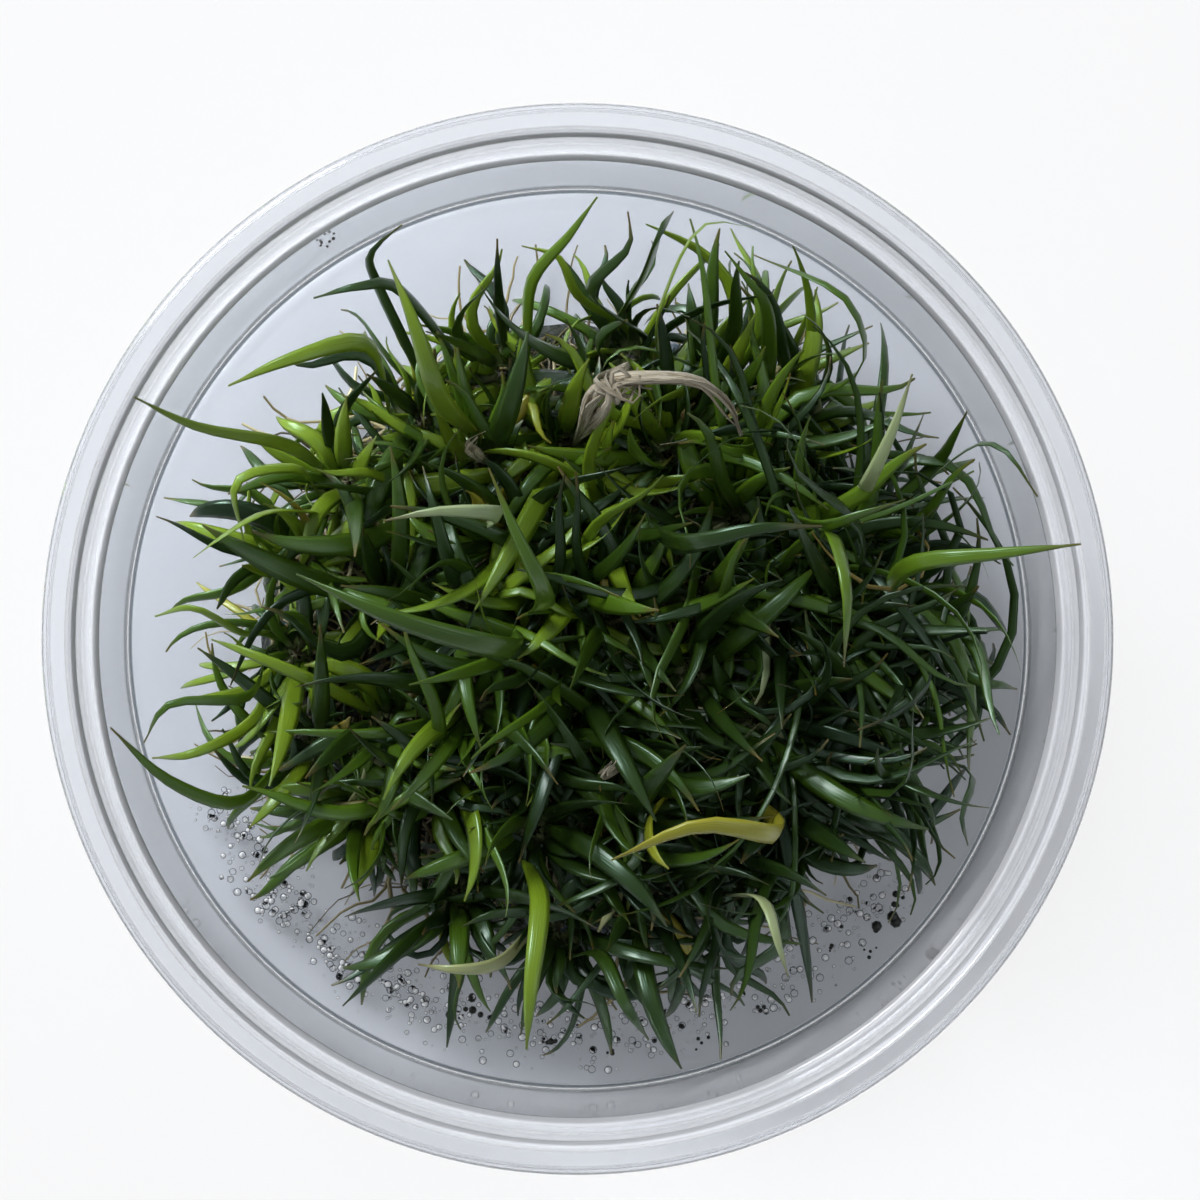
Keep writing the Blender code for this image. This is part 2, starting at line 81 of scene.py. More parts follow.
# The leaves: one climbs at LEAF_CLIMB degrees, bends over by LEAF_BEND, later for a higher
# LEAF_BEND_LATE, and twists by LEAF_ROLL. LEAF_BASE is the least share of its width or thickness
LEAF_LENGTH = (11.0, 24.0)
LEAF_WIDTH = (1.4, 2.5)
LEAF_THICKNESS = 0.6
LEAF_FULLEST = 0.45
LEAF_BASE = 0.5
LEAF_POINT = 2.4
GROWN_SPANS = 4
LANDMARK_SPANS = 7
LEAF_CLIMB = (52, 86)
LEAF_BEND = (25, 135)
LEAF_BEND_LATE = 1.6
LEAF_STEPS = 14
LEAF_ROLL = 50
OUTWARD_PULL = 0.5
PULL_RANGE = (0.2, 1.6)
STRAY = 0.7
SEED = 11

# Room between neighbours, from these shares of a leaf's length on: nearer its base it may touch
# its own crown, and a little further the leaves beside it
CLEAR = 0.3
CLEAR_OF_CROWN = 0.1
CLEAR_OF_TUFT = 0.25
TRIES = 80

# The foliage is a low dome: this high in the middle, lower by the fall where it meets the wall
DOME_TOP = 43.0
DOME_FALL = 13.0
DOME_REACH = 0.97

# Free room between the plants and the wall, where tweezers reach in: x and y of its middle
FREE_ROOM = ((-26.5, -28.0), (27.5, -28.0))
FREE_SIDE = 6.0

# Leaves that can be told apart in the photograph, on a cup of this rim and height: the width, then
# x, y and z of where the leaf comes out of the clump, of a point on its bend and of its tip
PHOTO_RIM = 101.0
PHOTO_HEIGHT = 37.0
LANDMARK_ROLL = 0.5
LOOSENED = 2.5
LOOSE_ASIDE = 0.2
LANDMARK_STEPS = 5
SOCKETS_TRIED = 4
SOCKET_BEHIND = 5.0
HEADING_WEIGHT = 3.0
LANDMARK_LEAVES = {
    "left_long": (1.4, (-28.2, 18.7, 26), (-36.0, 20.1, 33), (-41.6, 22.7, 38.2)),
    "left_low_long": (1.4, (-32.6, -15.8, 20), (-39.0, -13.6, 27), (-44.3, -8.4, 32)),
    "left_loop": (1.1, (-31.7, -5.5, 21), (-39.0, -6.2, 26), (-41.8, -10.0, 22)),
    "left_fork": (1.2, (-31.7, -8.0, 15), (-36.9, -11.0, 20), (-41.4, -11.6, 16)),
    "left_hook": (0.9, (-32.2, 0.4, 16), (-37.0, 3.0, 20), (-41.2, 2.2, 15)),
    "left_upper_loop": (1.1, (-27.3, 16.6, 16), (-33.0, 15.2, 20), (-32.5, 9.4, 15)),
    "left_blunt": (1.5, (-29.7, 12.3, 21), (-33.6, 10.2, 24), (-37.0, 7.8, 23)),
    "upper_left_pair": (1.9, (-20.0, 28.3, 24), (-27.0, 26.8, 29), (-33.4, 24.2, 27)),
    "upper_left_short": (1.4, (-17.0, 33.6, 21), (-21.0, 33.8, 25), (-25.4, 32.8, 23)),
    "upper_hook": (1.2, (-19.3, 34.2, 20), (-19.8, 37.0, 25), (-16.8, 39.6, 27)),
    "big_upper_left": (2.4, (-13.0, 22.8, 33), (-15.4, 29.8, 39), (-17.8, 35.6, 38)),
    "top_short": (1.1, (-7.6, 32.3, 18), (-7.7, 35.5, 23), (-7.7, 38.4, 25)),
    "top_tall": (1.3, (-4.5, 34.5, 19), (-1.0, 38.6, 23), (1.9, 42.4, 25)),
    "top_bow": (1.2, (0.2, 33.3, 15), (-1.8, 37.0, 18), (-5.4, 38.2, 17)),
    "top_right_tall": (1.5, (1.2, 33.3, 22), (4.9, 37.4, 27), (4.8, 40.8, 28)),
    "top_broad": (2.1, (6.9, 36.0, 20), (8.0, 38.6, 24), (9.0, 41.0, 25)),
    "top_bent": (1.4, (7.8, 31.3, 25), (11.6, 39.2, 29), (16.8, 39.4, 27)),
    "right_top_short": (1.5, (18.3, 31.3, 24), (16.2, 34.4, 27), (14.1, 37.1, 27)),
    "right_top_arc": (1.1, (27.0, 25.6, 22), (25.6, 32.4, 29), (16.9, 36.9, 24)),
    "right_spear": (1.5, (27.9, 15.1, 26), (30.0, 20.0, 31), (31.7, 25.1, 33)),
    "right_spear_low": (1.6, (30.2, 15.1, 21), (31.8, 18.6, 25), (33.1, 21.7, 27)),
    "right_up": (1.4, (34.8, 17.0, 16), (36.4, 19.6, 20), (37.5, 21.9, 23)),
    "right_arc": (1.0, (36.4, 17.5, 24), (40.3, 18.2, 30), (43.7, 13.5, 31)),
    "right_long": (1.9, (31.5, 7.0, 32), (39.3, 8.0, 37), (47.2, 8.9, 38.8)),
    "right_drop": (1.5, (38.6, -3.9, 19), (40.8, -4.4, 19), (42.8, -4.9, 16)),
    "right_low": (1.4, (38.4, -5.6, 13), (40.6, -7.0, 14), (42.4, -9.4, 12)),
    "right_bottom": (1.4, (37.8, -12.5, 15), (37.2, -17.0, 19), (38.0, -20.1, 16)),
    "bottom_bright": (2.0, (-3.6, -25.0, 24), (-4.4, -32.8, 28), (-4.9, -39.4, 25)),
    "bottom_right": (1.6, (2.2, -30.6, 18), (4.6, -35.2, 22), (6.9, -38.9, 18)),
    "bottom_pale": (1.8, (17.8, -25.0, 25), (19.2, -29.2, 28), (20.2, -32.4, 26)),
    "bottom_left": (1.6, (-7.5, -31.3, 20), (-11.6, -31.8, 23), (-15.4, -31.4, 21)),
    "middle_left_wide": (2.6, (-6.4, -1.0, 33), (-16.8, 1.8, 40), (-26.4, 6.1, 38)),
    "middle_left_pale": (2.0, (-7.4, 11.8, 34), (-13.0, 12.0, 38), (-18.2, 11.1, 37)),
    "middle_diagonal": (2.0, (-3.0, 3.8, 34), (-5.8, 10.0, 40), (-8.3, 16.0, 41)),
    "middle_right": (2.2, (10.0, 9.0, 33), (17.0, 10.4, 38), (23.0, 10.6, 37)),
    "right_bright": (2.2, (23.0, 10.9, 30), (27.4, 12.0, 34), (31.0, 13.2, 34)),
    "middle_down": (1.8, (24.0, 10.4, 32), (24.6, 4.0, 36), (24.9, -3.0, 33)),
    "lower_yellow": (2.2, (19.2, -18.6, 29), (11.6, -17.6, 34), (3.2, -21.0, 31)),
}

# The photograph: its side and the cup's middle and outer radius in it, in pixels, and how far above
# the rim the camera stands, in metres
PHOTO_SIDE = 1200
PHOTO_CUP_MIDDLE = (577.5, 639)
PHOTO_RIM_RADIUS = 537
CAMERA_ABOVE_RIM = 0.6

# The cup as it is seen, rounder than its solid, with its long runs held flat this close to their ends
FINE_SIDES = 256
FINE_ARC_STEPS = 10
HOLD = 0.06

# Finer leaves of each tuft. A habit is how many leaves a tuft has and how many more or fewer at the
# clump's edge, lengths, widths, climb and bend in degrees, sideways drift and spread in radians, and
# a share of the usual tones, below one for painted shade on the low undergrowth
Habit = namedtuple("Habit", "count at_edge length width climb bend drift spread brightness")
LOOKS_SEED = 5
HABITS = (
    Habit(10, -4, (12.0, 24.0), (1.0, 1.9), (35, 85), (20, 160), 1.4, math.pi, 0.9),
    Habit(12, 0, (6.0, 14.0), (0.7, 1.4), (35, 85), (20, 170), 1.3, math.pi, 0.6),
    Habit(0, 8, (16.0, 28.0), (0.9, 1.6), (10, 60), (0, 120), 0.8, 1.0, 1.0),
    Habit(0, 13, (10.0, 25.0), (0.6, 1.2), (0, 60), (-40, 190), 2.2, 1.3, 0.9),
    Habit(0, 18, (5.0, 13.0), (0.4, 0.8), (-15, 55), (-60, 230), 2.8, 1.7, 0.75))
CURL_STEPS = 12
CURL_LATE = 1.4
SWAY = 0.45

# A tuft beyond EDGE_FROM stands at the clump's edge and has at least the share EDGE_LEAST of loose
# leaves, and more and longer ones the nearer it is to the heading where the clump is fullest
EDGE_FROM = 19.0
EDGE_LEAST = 0.55
EDGE_LEAN = 1.0
EDGE_STRETCH = 0.8
EDGE_FULLEST = math.radians(5)

# Where a finer leaf starts, as shares of its crown's radius and height, how high it may rise, and the
# room that it keeps from the cup and the mat, from this share of its length on
EXTRA_REACH = 0.6
EXTRA_HEIGHT = (0.3, 1.0)
EXTRA_TOP = 40.0
EXTRA_TRIES = 5
EXTRA_CLEAR = 0.1
EXTRA_CLEAR_FROM = 0.15

# Blades: the section's sides and its thickness as a share of its width, the least half width, how many
# stations a leaf has, crowded to its tip by a power, and a finer leaf's width at its base and how
# abruptly it ends
BLADE_SIDES = 6
BLADE_FLATNESS = 0.2
TIP_RADIUS = 0.1
LEAF_STATIONS = 16
EXTRA_STATIONS = 10
DEAD_STATIONS = 26
TIP_CROWDING = 1.15
STRAP_BASE = 0.6
STRAP_FULL_FROM = 0.3
STRAP_POINT = 5

# Greens. A tone is a place on the ramp of greens. One random number picks the range that a leaf's
# tone is from: the first whose limit it is below, or else the faded ones. Tufts on the window's side
# get brighter greens, a painted light, by a share for each mm
TONE_DRAWS = ((0.72, (0.0, 0.5)), (0.98, (0.5, 0.7)))
FADED_TONES = (0.7, 1.0)
BRIGHTEST_GREEN = 0.68
SHEATH_TONES = (0.4, 0.6)
WINDOW_SIDE = Vector((-0.6, 0.8, 0))
WINDOW_PAINTED_LIGHT = 0.028
# The ramp's pale top is partly the leaves' own bloom and partly painted sheen
LEAF_TONES = ((0.0, "#122209"), (0.3, "#31490f"), (0.55, "#557419"), (0.7, "#7a9322"),
              (0.82, "#a79c32"), (0.9, "#98824a"), (1.0, "#abbc90"))
# Pale landmark leaves take the ramp's top: partly their own bloom, partly painted sheen
LANDMARK_TONES = {"middle_left_pale": 1.0, "bottom_pale": 0.98, "bottom_left": 0.96, "middle_down": 0.6,
                  "lower_yellow": 0.8, "bottom_bright": 0.68, "right_bright": 0.5, "right_long": 0.58,
                  "left_low_long": 0.5, "middle_left_wide": 0.4, "middle_diagonal": 0.52}

# Leaf bases round a crown: share of its radius, share of its height, half width, share of the leaf
SHEATH_STATIONS = ((0.75, 0.0, 0.55, 0.0), (1.0, 0.45, 0.6, 0.03),
                   (0.7, 1.1, 0.4, 0.08), (0.4, 1.7, 0.05, 0.12))

# Roots in the mat, and runners from crown to crown. At each step they wind by about so many radians,
# and they end thinner by the taper
ROOTS = 700
ROOT_LENGTH = (6.0, 16.0)
ROOT_RADIUS = (0.12, 0.3)
ROOT_WINDING = 0.35
ROOT_REACH = 40.0
ROOT_STEPS = 9
ROOT_TAPER = 0.6
ROOT_SIDES = 5
ROOT_TONES = ((0.0, "#3a351c"), (0.5, "#857a4c"), (1.0, "#d2cca2"))
OLD_ROOT_TONES = (0.0, 0.8)
RUNNER_TONES = (0.5, 1.0)
RUNNERS_EACH = 2
RUNNER_LENGTH = (8.0, 16.0)
RUNNER_RADIUS = (0.25, 0.42)
RUNNER_LIFT = (1.0, 5.0)

# On the floor: arcs of drops as start and end in degrees and count, the middle and spread of their
# distance from the axis, then crumbs, specks on the wall and gel, each a pixel of the photograph and a
# size, the specks with their height between
DROP_ARCS = ((203, 268, 650), (268, 325, 380))
DROP_REACH = (39.2, 1.7)
DROP_FARTHEST = 43.0
DROP_SIZES = (0.1, 0.45)
# The size of the patches of drops that are made white, a painted glint
DROP_GLINT_PATCH = 0.8
DROP_GAP = 0.03
CRUMBS = (((885, 918), 0.7), ((898, 905), 0.5), ((545, 1040), 0.5), ((468, 1012), 0.6), ((455, 1018), 0.3),
          ((830, 945), 0.3), ((760, 1010), 0.3), ((610, 1052), 0.3), ((700, 1040), 0.3), ((870, 950), 0.3))
CRUMBS_EACH = 4
WALL_SPECKS = (((330, 238), 24.0, 0.3), ((322, 246), 24.0, 0.2))
GEL_LUMPS = (((400, 410), 1.4), ((735, 430), 1.7), ((815, 480), 1.7), ((340, 640), 1.4), ((690, 360), 1.4))
GEL_HEIGHT = 12.0
GEL_EACH = 5

# The shape of a drop, a crumb and a lump of gel: segments round it, and its height as a share of its
# radius
LUMP_RINGS = 4
DROP_SHAPE = (8, 0.9)
CRUMB_SHAPE = (7, 0.5)
GEL_SHAPE = (16, 3.0)

# Dead leaves: points of the midrib as seen, with their heights, how many strips each split into,
# the widths of the strips and how far they stray. A strip rolls by up to DEAD_ROLL radians
DEAD_LEAVES = (
    ((((590, 402), 30.0), ((606, 384), 35.5), ((650, 378), 38.0), ((695, 385), 37.0), ((728, 404), 34.0),
      ((742, 436), 29.0)), 6, (0.8, 1.6), 0.3),
    ((((600, 400), 35.0), ((616, 378), 38.0), ((648, 390), 38.5)), 6, (0.9, 1.5), 0.6),
    ((((604, 384), 36.5), ((626, 402), 38.5), ((644, 376), 38.0)), 4, (0.7, 1.2), 0.6),
    ((((470, 452), 28.0), ((478, 436), 30.0)), 3, (0.6, 0.9), 0.4),
    ((((602, 780), 28.0), ((612, 758), 31.0)), 3, (0.6, 0.9), 0.4),
    ((((818, 798), 12.0), ((840, 815), 12.0), ((862, 860), 7.0)), 1, (0.5, 0.6), 0.1))
DEAD_ROLL = 2.5
DEAD_STEPS = 6
DEAD_FLATNESS = 0.3

# Pattern sizes and how deep they are pressed
RIPPLE = 16.0
RIPPLE_DEPTH = 0.2
VEINS_PER_HALF_BLADE = 9.0
VEIN_DEPTH = 0.06
WRINKLES_PER_HALF_BLADE = 6.0
WRINKLE_DEPTH = 0.6
MAT_CLOD = 3.8
MAT_FIBRE = 1.1
MAT_FIBRE_DEPTH = 0.8
GEL_FILM = 8.0
GEL_DENT = 1.4
GEL_DENT_DEPTH = 0.4

# The cup's plastic. Three bends of its section, as radius and height: the corner is painted dark, a
# painted shade line for the dark that refraction gives there, and the upper two are hazy, and both
# fade out between two distances. CLEARNESS is the clear share at a hazy bend and elsewhere. Seen at a
# grazing angle the wall turns milky, by a share at each of two heights. Between two heights up the
# wall's foot the tint goes from the floor's darker one, a painted shade, to the wall's lighter one, a
# painted light
LAMP_LIGHT_PASSED = 0.86
CORNER_BEND = (44.6, 2.0)
LEDGE_BEND = (45.9, 29.5)
MOUTH_BEND = (47.6, 36.4)
PAINTED_CORNER_SHADE = (0.15, 0.35)
HAZE_REACH = (0.4, 0.9)
CLEARNESS = (0.6, 0.96)
WALL_FOOT = (2.0, 4.0)
GRAZING = (0.75, 0.9)
MILK_HEIGHTS = (14.0, 27.0)
MILK = (0.45, 0.2)

# The studio, with each lamp's name, place, size, power and colour in metres and watts
LAMP_AIM = Vector((0, 0, 0.02))
FLOOR_HALF = 1.5
FLOOR_GLOW = 0.8
FLOOR_GLOW_THROUGH = 0.11
WORLD_STRENGTH = 0.3
LAMPS = (("key", (-0.52, 0.62, 0.52), 0.4, 9.0, "#f8faff"),
         ("fill", (0.5, -0.2, 0.6), 0.6, 0.8, "#ffffff"))


def arc(middle, radius, start, end, steps):
    """Points on a circle round `middle`, from one angle to another, in degrees."""
    angles = [math.radians(start + (end - start) * step / steps) for step in range(steps + 1)]
    return [(middle[0] + radius * math.cos(a), middle[1] + radius * math.sin(a)) for a in angles]


def cup_outline(steps):
    """The cup's section as radius and height: up the inside, over the lip and down the outside,
    which follows the inside at WALL. Each quarter bend is made in `steps`, each eighth in half of them."""
    rim = RIM_DIAMETER / 2
    floor_top = FOOT_LIFT + FLOOR
    ledge = CUP_HEIGHT - LEDGE_DROP
    floor_radius = rim - FLOOR_INSET
    wall_radius = floor_radius + DRAFT
    band_radius = wall_radius + LEDGE_WIDTH
    mouth_radius = band_radius + BAND_DRAFT
    lip_inside = mouth_radius + FLARE
    lip_outside = lip_inside + LIP_FLAT
    rim_bend = rim - lip_outside
    corner = (floor_radius - FLOOR_CORNER, floor_top + FLOOR_CORNER)
    edge = (wall_radius + LEDGE_EDGE, ledge - LEDGE_EDGE)
    groove = (band_radius - LEDGE_CORNER, ledge + LEDGE_CORNER)
    flare_foot = (mouth_radius + LIP_BEND, CUP_HEIGHT - FLARE)
    flare_top = (lip_inside, CUP_HEIGHT - LIP_BEND)
    turn = (lip_outside, CUP_HEIGHT - rim_bend)
    skirt = CUP_HEIGHT - SKIRT_DROP
    few = steps // 2

    inside = [(0, floor_top)] + arc(corner, FLOOR_CORNER, -90, 0, steps)
    inside += arc(edge, LEDGE_EDGE, 180, 90, steps) + arc(groove, LEDGE_CORNER, -90, 0, steps)
    lip = arc(flare_foot, LIP_BEND, 180, 135, few) + arc(flare_top, LIP_BEND, 135, 90, few)
    lip += arc(turn, rim_bend, 90, 0, steps) + [(rim, skirt), (rim - WALL, skirt)]
    lip += arc(turn, rim_bend - WALL, 0, 90, steps) + arc(flare_top, LIP_BEND - WALL, 90, 135, few)
    lip += arc(flare_foot, LIP_BEND - WALL, 135, 180, few)
    outside = arc(groove, LEDGE_CORNER + WALL, 0, -90, steps) + arc(edge, LEDGE_EDGE - WALL, 90, 180, steps)
    outside += [(floor_radius + WALL, 0), (floor_radius, 0), (floor_radius, FOOT_LIFT), (0, FOOT_LIFT)]
    return inside + lip + outside


def turned(outline, sides):
    """Points and faces of an outline turned round Z. Its first and last points lie on the axis."""
    ring = outline[1:-1]
    points = [(0, 0, outline[0][1]), (0, 0, outline[-1][1])]
    for side in range(sides):
        angle = math.tau * side / sides
        points += [(radius * math.cos(angle), radius * math.sin(angle), z) for radius, z in ring]
    faces = []
    for side in range(sides):
        here = 2 + side * len(ring)
        there = 2 + (side + 1) % sides * len(ring)
        faces.append((0, here, there))
        faces += [(here + i, here + i + 1, there + i + 1, there + i) for i in range(len(ring) - 1)]
        faces.append((1, there + len(ring) - 1, here + len(ring) - 1))
    return points, faces


def mat_radius():
    """How far the mat reaches from the cup's axis, its waves left out."""
    return MAT_SHARE * (RIM_DIAMETER / 2 - FLOOR_INSET)


def mat_lump(angle, share):
    """How far the mat's top is raised or sunk by its lumps."""
    return MAT_LUMP * math.sin(3 * angle + 7 * share) * math.cos(5 * angle - 9 * share)


def root_mat():
    """Points and faces of the low cushion of roots, CLEAR above the cup's floor."""
    radius = mat_radius()
    bottom = FOOT_LIFT + FLOOR + CLEAR
    points = [(0, 0, bottom + MAT_HEIGHT)]
    for share in MAT_RINGS:
        for sector in range(MAT_SECTORS):
            angle = math.tau * sector / MAT_SECTORS
            reach = radius * share * (1 + MAT_WAVE * math.sin(4 * angle + 1))
            height = MAT_EDGE + (MAT_HEIGHT - MAT_EDGE) * (1 - share ** MAT_DOME) + mat_lump(angle, share)
            points.append((reach * math.cos(angle), reach * math.sin(angle), bottom + height))
    for sector in range(MAT_SECTORS):
        angle = math.tau * sector / MAT_SECTORS
        reach = radius * (1 + MAT_WAVE * math.sin(4 * angle + 1))
        points.append((reach * math.cos(angle), reach * math.sin(angle), bottom))
    points.append((0, 0, bottom))
    rings = [1 + MAT_SECTORS * index for index in range(len(MAT_RINGS) + 1)]
    faces = []
    for sector in range(MAT_SECTORS):
        after = (sector + 1) % MAT_SECTORS
        faces.append((0, 1 + sector, 1 + after))
        for near, far in zip(rings, rings[1:]):
            faces.append((near + sector, far + sector, far + after, near + after))
        faces.append((len(points) - 1, rings[-1] + after, rings[-1] + sector))
    return points, faces


class Obstacle:
    """A closed mesh that leaves keep clear of."""

    def __init__(self, points, faces):
        self.tree = BVHTree.FromPolygons([Vector(point) for point in points], faces)
        self.low = [min(point[axis] for point in points) for axis in range(3)]
        self.high = [max(point[axis] for point in points) for axis in range(3)]

    def meets(self, other):
        apart = any(self.low[a] > other.high[a] or other.low[a] > self.high[a] for a in range(3))
        return not apart and bool(self.tree.overlap(other.tree))


def free_room_box(middle_x, middle_y):
    """A box from the floor to above the foliage, which no leaf enters."""
    half = FREE_SIDE / 2 + CLEAR
    low, high = FOOT_LIFT + FLOOR, DOME_TOP + CLEAR
    corners = [(x, y) for x, y in ((-half, -half), (half, -half), (half, half), (-half, half))]
    points = [(middle_x + x, middle_y + y, z) for z in (low, high) for x, y in corners]
    sides = [(i, (i + 1) % 4, (i + 1) % 4 + 4, i + 4) for i in range(4)]
    return Obstacle(points, sides + [(3, 2, 1, 0), (4, 5, 6, 7)])


def blade_share(share):
    """A leaf's width along it: slender at the base, full half way, and pointed at the tip."""
    rise = min(share / LEAF_FULLEST, 1)
    fall = max((share - LEAF_FULLEST) / (1 - LEAF_FULLEST), 0)
    return (LEAF_BASE + (1 - LEAF_BASE) * rise * rise * (3 - 2 * rise)) * (1 - fall ** LEAF_POINT)


class Leaf:
    """A strap leaf: a fine route for its midrib, a width, and a roll about the midrib at its tip."""

    def __init__(self, route, side, width, roll, spans):
        self.landmark = None
        self.width = width
        self.spans = spans
        self.roll = roll
        self.route = route
        self.lengths = [0.0]
        for start, end in zip(route, route[1:]):
            self.lengths.append(self.lengths[-1] + (end - start).length)
        self.sides = []
        for index in range(len(route)):
            ahead = self.direction(index)
            side = (side - ahead * side.dot(ahead)).normalized()
            self.sides.append(side)

    def direction(self, index):
        before = self.route[max(index - 1, 0)]
        after = self.route[min(index + 1, len(self.route) - 1)]
        return (after - before).normalized()

    def station(self, share):
        """The midrib's point, the blade's side and its direction at a share of the length."""
        target = share * self.lengths[-1]
        index = next(i for i in range(1, len(self.route)) if self.lengths[i] >= target - 1e-6)
        span = self.lengths[index] - self.lengths[index - 1]
        part = (target - self.lengths[index - 1]) / span
        point = self.route[index - 1].lerp(self.route[index], part)
        ahead = self.direction(index - 1).lerp(self.direction(index), part).normalized()
        side = self.sides[index - 1].lerp(self.sides[index], part)
        side = (side - ahead * side.dot(ahead)).normalized()
        return point, Matrix.Rotation(self.roll * share, 3, ahead) @ side, ahead

    def ring(self, share, extra=0.0):
        """Four corners round the blade: the keel below, one edge, the crest above, the other edge."""
        point, side, ahead = self.station(share)
        half_width = side * (self.width * blade_share(share) / 2 + extra)
        thin = LEAF_THICKNESS * (LEAF_BASE + (1 - LEAF_BASE) * blade_share(share)) / 2 + extra
        half_thick = ahead.cross(side).normalized() * thin
        return [point - half_thick, point + half_width, point + half_thick, point - half_width]

    def tube(self, first_share, extra):
        """The leaf as an obstacle, grown by `extra` on every side, from a share of its length on."""
        shares = [first_share] + [i / self.spans for i in range(1, self.spans)]
        shares = [share for share in shares if share >= first_share]
        points = [corner for share in shares for corner in self.ring(share, extra)]
        points.append(self.route[-1] + self.direction(len(self.route) - 1) * extra)
        return Obstacle(points, tube_faces(list(range(4)), len(points), 0))


def tube_faces(base, count, first):
    """Faces from the ring `base` along rings of four to a point, the last of `count` from `first`."""
    faces = []
    rings = [base] if first else []
    rings += [list(range(start, start + 4)) for start in range(first, first + count - 1, 4)]
    for near, far in zip(rings, rings[1:]):
        faces += [(near[i], near[(i + 1) % 4], far[(i + 1) % 4], far[i]) for i in range(4)]
    tip = first + count - 1
    faces += [(rings[-1][i], rings[-1][(i + 1) % 4], tip) for i in range(4)]
    if not first:
        faces.append((3, 2, 1, 0))
    return faces


class Plantlet:
    """A crown that stands on the mat, with a socket for each leaf round its side."""

    def __init__(self, x, y, spin, ground):
        self.leaves = {}
        self.angles = [spin + math.tau * k / LEAVES_EACH for k in range(LEAVES_EACH)]
        reach = CROWN_END * CROWN_RADIUS
        under = [(x + reach * math.cos(a), y + reach * math.sin(a)) for a in self.angles]
        hits = [ground.ray_cast(Vector((*spot, DOME_TOP)), DOWN)[0] for spot in under]
        self.foot = Vector((x, y, max(hit.z for hit in hits if hit) + CLEAR))
        half_step = math.pi / LEAVES_EACH
        self.bottom = [self.on_crown(a, CROWN_END, 0) for a in self.angles]
        self.middle = [self.on_crown(a + half_step, 1, CROWN_GIRTH) for a in self.angles]
        self.top = [self.on_crown(a, CROWN_END, 1) for a in self.angles]

    def on_crown(self, angle, radius_share, height_share):
        reach = CROWN_RADIUS * radius_share
        offset = (reach * math.cos(angle), reach * math.sin(angle), CROWN_HEIGHT * height_share)
        return self.foot + Vector(offset)

    def socket(self, index):
        """Where a leaf starts: the middle of its socket, its heading and the side of its blade."""
        angle = self.angles[index]
        start = self.on_crown(angle, CROWN_END, 0.5)
        return start, angle, Vector((-math.sin(angle), math.cos(angle), 0))

    def mesh(self):
        """Points and faces of the crown and its leaves, as one closed skin."""
        n = LEAVES_EACH
        points = self.bottom + self.middle + self.top
        faces = [tuple(reversed(range(n))), tuple(range(2 * n, 3 * n))]
        for k in range(n):
            after = (k + 1) % n
            faces.append((k, after, n + k))
            faces.append((n + k, 2 * n + after, 2 * n + k))
            socket = [k, n + k, 2 * n + k, n + (k - 1) % n]
            leaf = self.leaves.get(k)
            if leaf is None:
                faces.append(tuple(socket))
                continue
            first = len(points)
            rings = [corner for i in range(1, leaf.spans) for corner in leaf.ring(i / leaf.spans)]
            points = points + rings + [leaf.route[-1]]
            faces += tube_faces(socket, len(rings) + 1, first)
        return points, faces


def along(heading, elevation):
    """The direction with a heading in plan and an elevation, both in radians."""
    level = math.cos(elevation)
    return Vector((level * math.cos(heading), level * math.sin(heading), math.sin(elevation)))


def smooth_route(points, steps):
    """A Catmull-Rom curve through the points."""
    ends = [points[0] * 2 - points[1]] + points + [points[-1] * 2 - points[-2]]
    route = [points[0]]
    for a, b, c, d in zip(ends, ends[1:], ends[2:], ends[3:]):
        for step in range(1, steps + 1):
            t = step / steps
            route.append(0.5 * ((2 * b) + (c - a) * t + (2 * a - 5 * b + 4 * c - d) * t * t
                                + (3 * b - a - 3 * c + d) * t ** 3))
    return route


def grown_route(rng, start, angle, outward):
    """A midrib that climbs from its socket, turns outwards and arches over."""
    step = rng.uniform(*LEAF_LENGTH) / LEAF_STEPS
    climb = rng.uniform(*LEAF_CLIMB)
    bend = rng.uniform(*LEAF_BEND)
    turn = (outward - angle + math.pi) % math.tau - math.pi
    drift = OUTWARD_PULL * rng.uniform(*PULL_RANGE) * turn + rng.gauss(0, STRAY)
    route = [start]
    for index in range(LEAF_STEPS):
        share = (index + 0.5) / LEAF_STEPS
        elevation = math.radians(climb - bend * share ** LEAF_BEND_LATE)
        route.append(route[-1] + along(angle + drift * share, elevation) * step)
    return route


def under_dome(route):
    """Whether a midrib stays under the foliage's dome."""
    reach = RIM_DIAMETER / 2 - FLOOR_INSET
    for point in route:
        share = math.hypot(point.x, point.y) / reach
        if share > DOME_REACH or point.z > DOME_TOP - DOME_FALL * share ** 2:
            return False
    return True


def crown_places(rng):
    """Where the crowns stand, ring by ring, and how each is turned."""
    for count, share in PLANTLET_RINGS:
        lead = rng.uniform(0, math.tau)
        for index in range(count):
            angle = lead + math.tau * (index + rng.uniform(-RING_STAGGER, RING_STAGGER)) / count
            reach = mat_radius() * share + rng.uniform(-RING_JITTER, RING_JITTER)
            yield reach * math.cos(angle), reach * math.sin(angle), rng.uniform(0, math.tau)


def likely_sockets(plantlets, exit_point, bend_point):
    """The free sockets that a leaf seen in the photograph may grow from, the likeliest first."""
    heading = (bend_point - exit_point).normalized()
    root = exit_point - heading * SOCKET_BEHIND
    ranked = []
    for number, plantlet in enumerate(plantlets):
        away = math.hypot(root.x - plantlet.foot.x, root.y - plantlet.foot.y)
        for index, angle in enumerate(plantlet.angles):
            onward = heading.x * math.cos(angle) + heading.y * math.sin(angle)
            if index not in plantlet.leaves:
                ranked.append((away - HEADING_WEIGHT * onward, number, index))
    return [(plantlets[number], index) for _, number, index in sorted(ranked)[:SOCKETS_TRIED]]


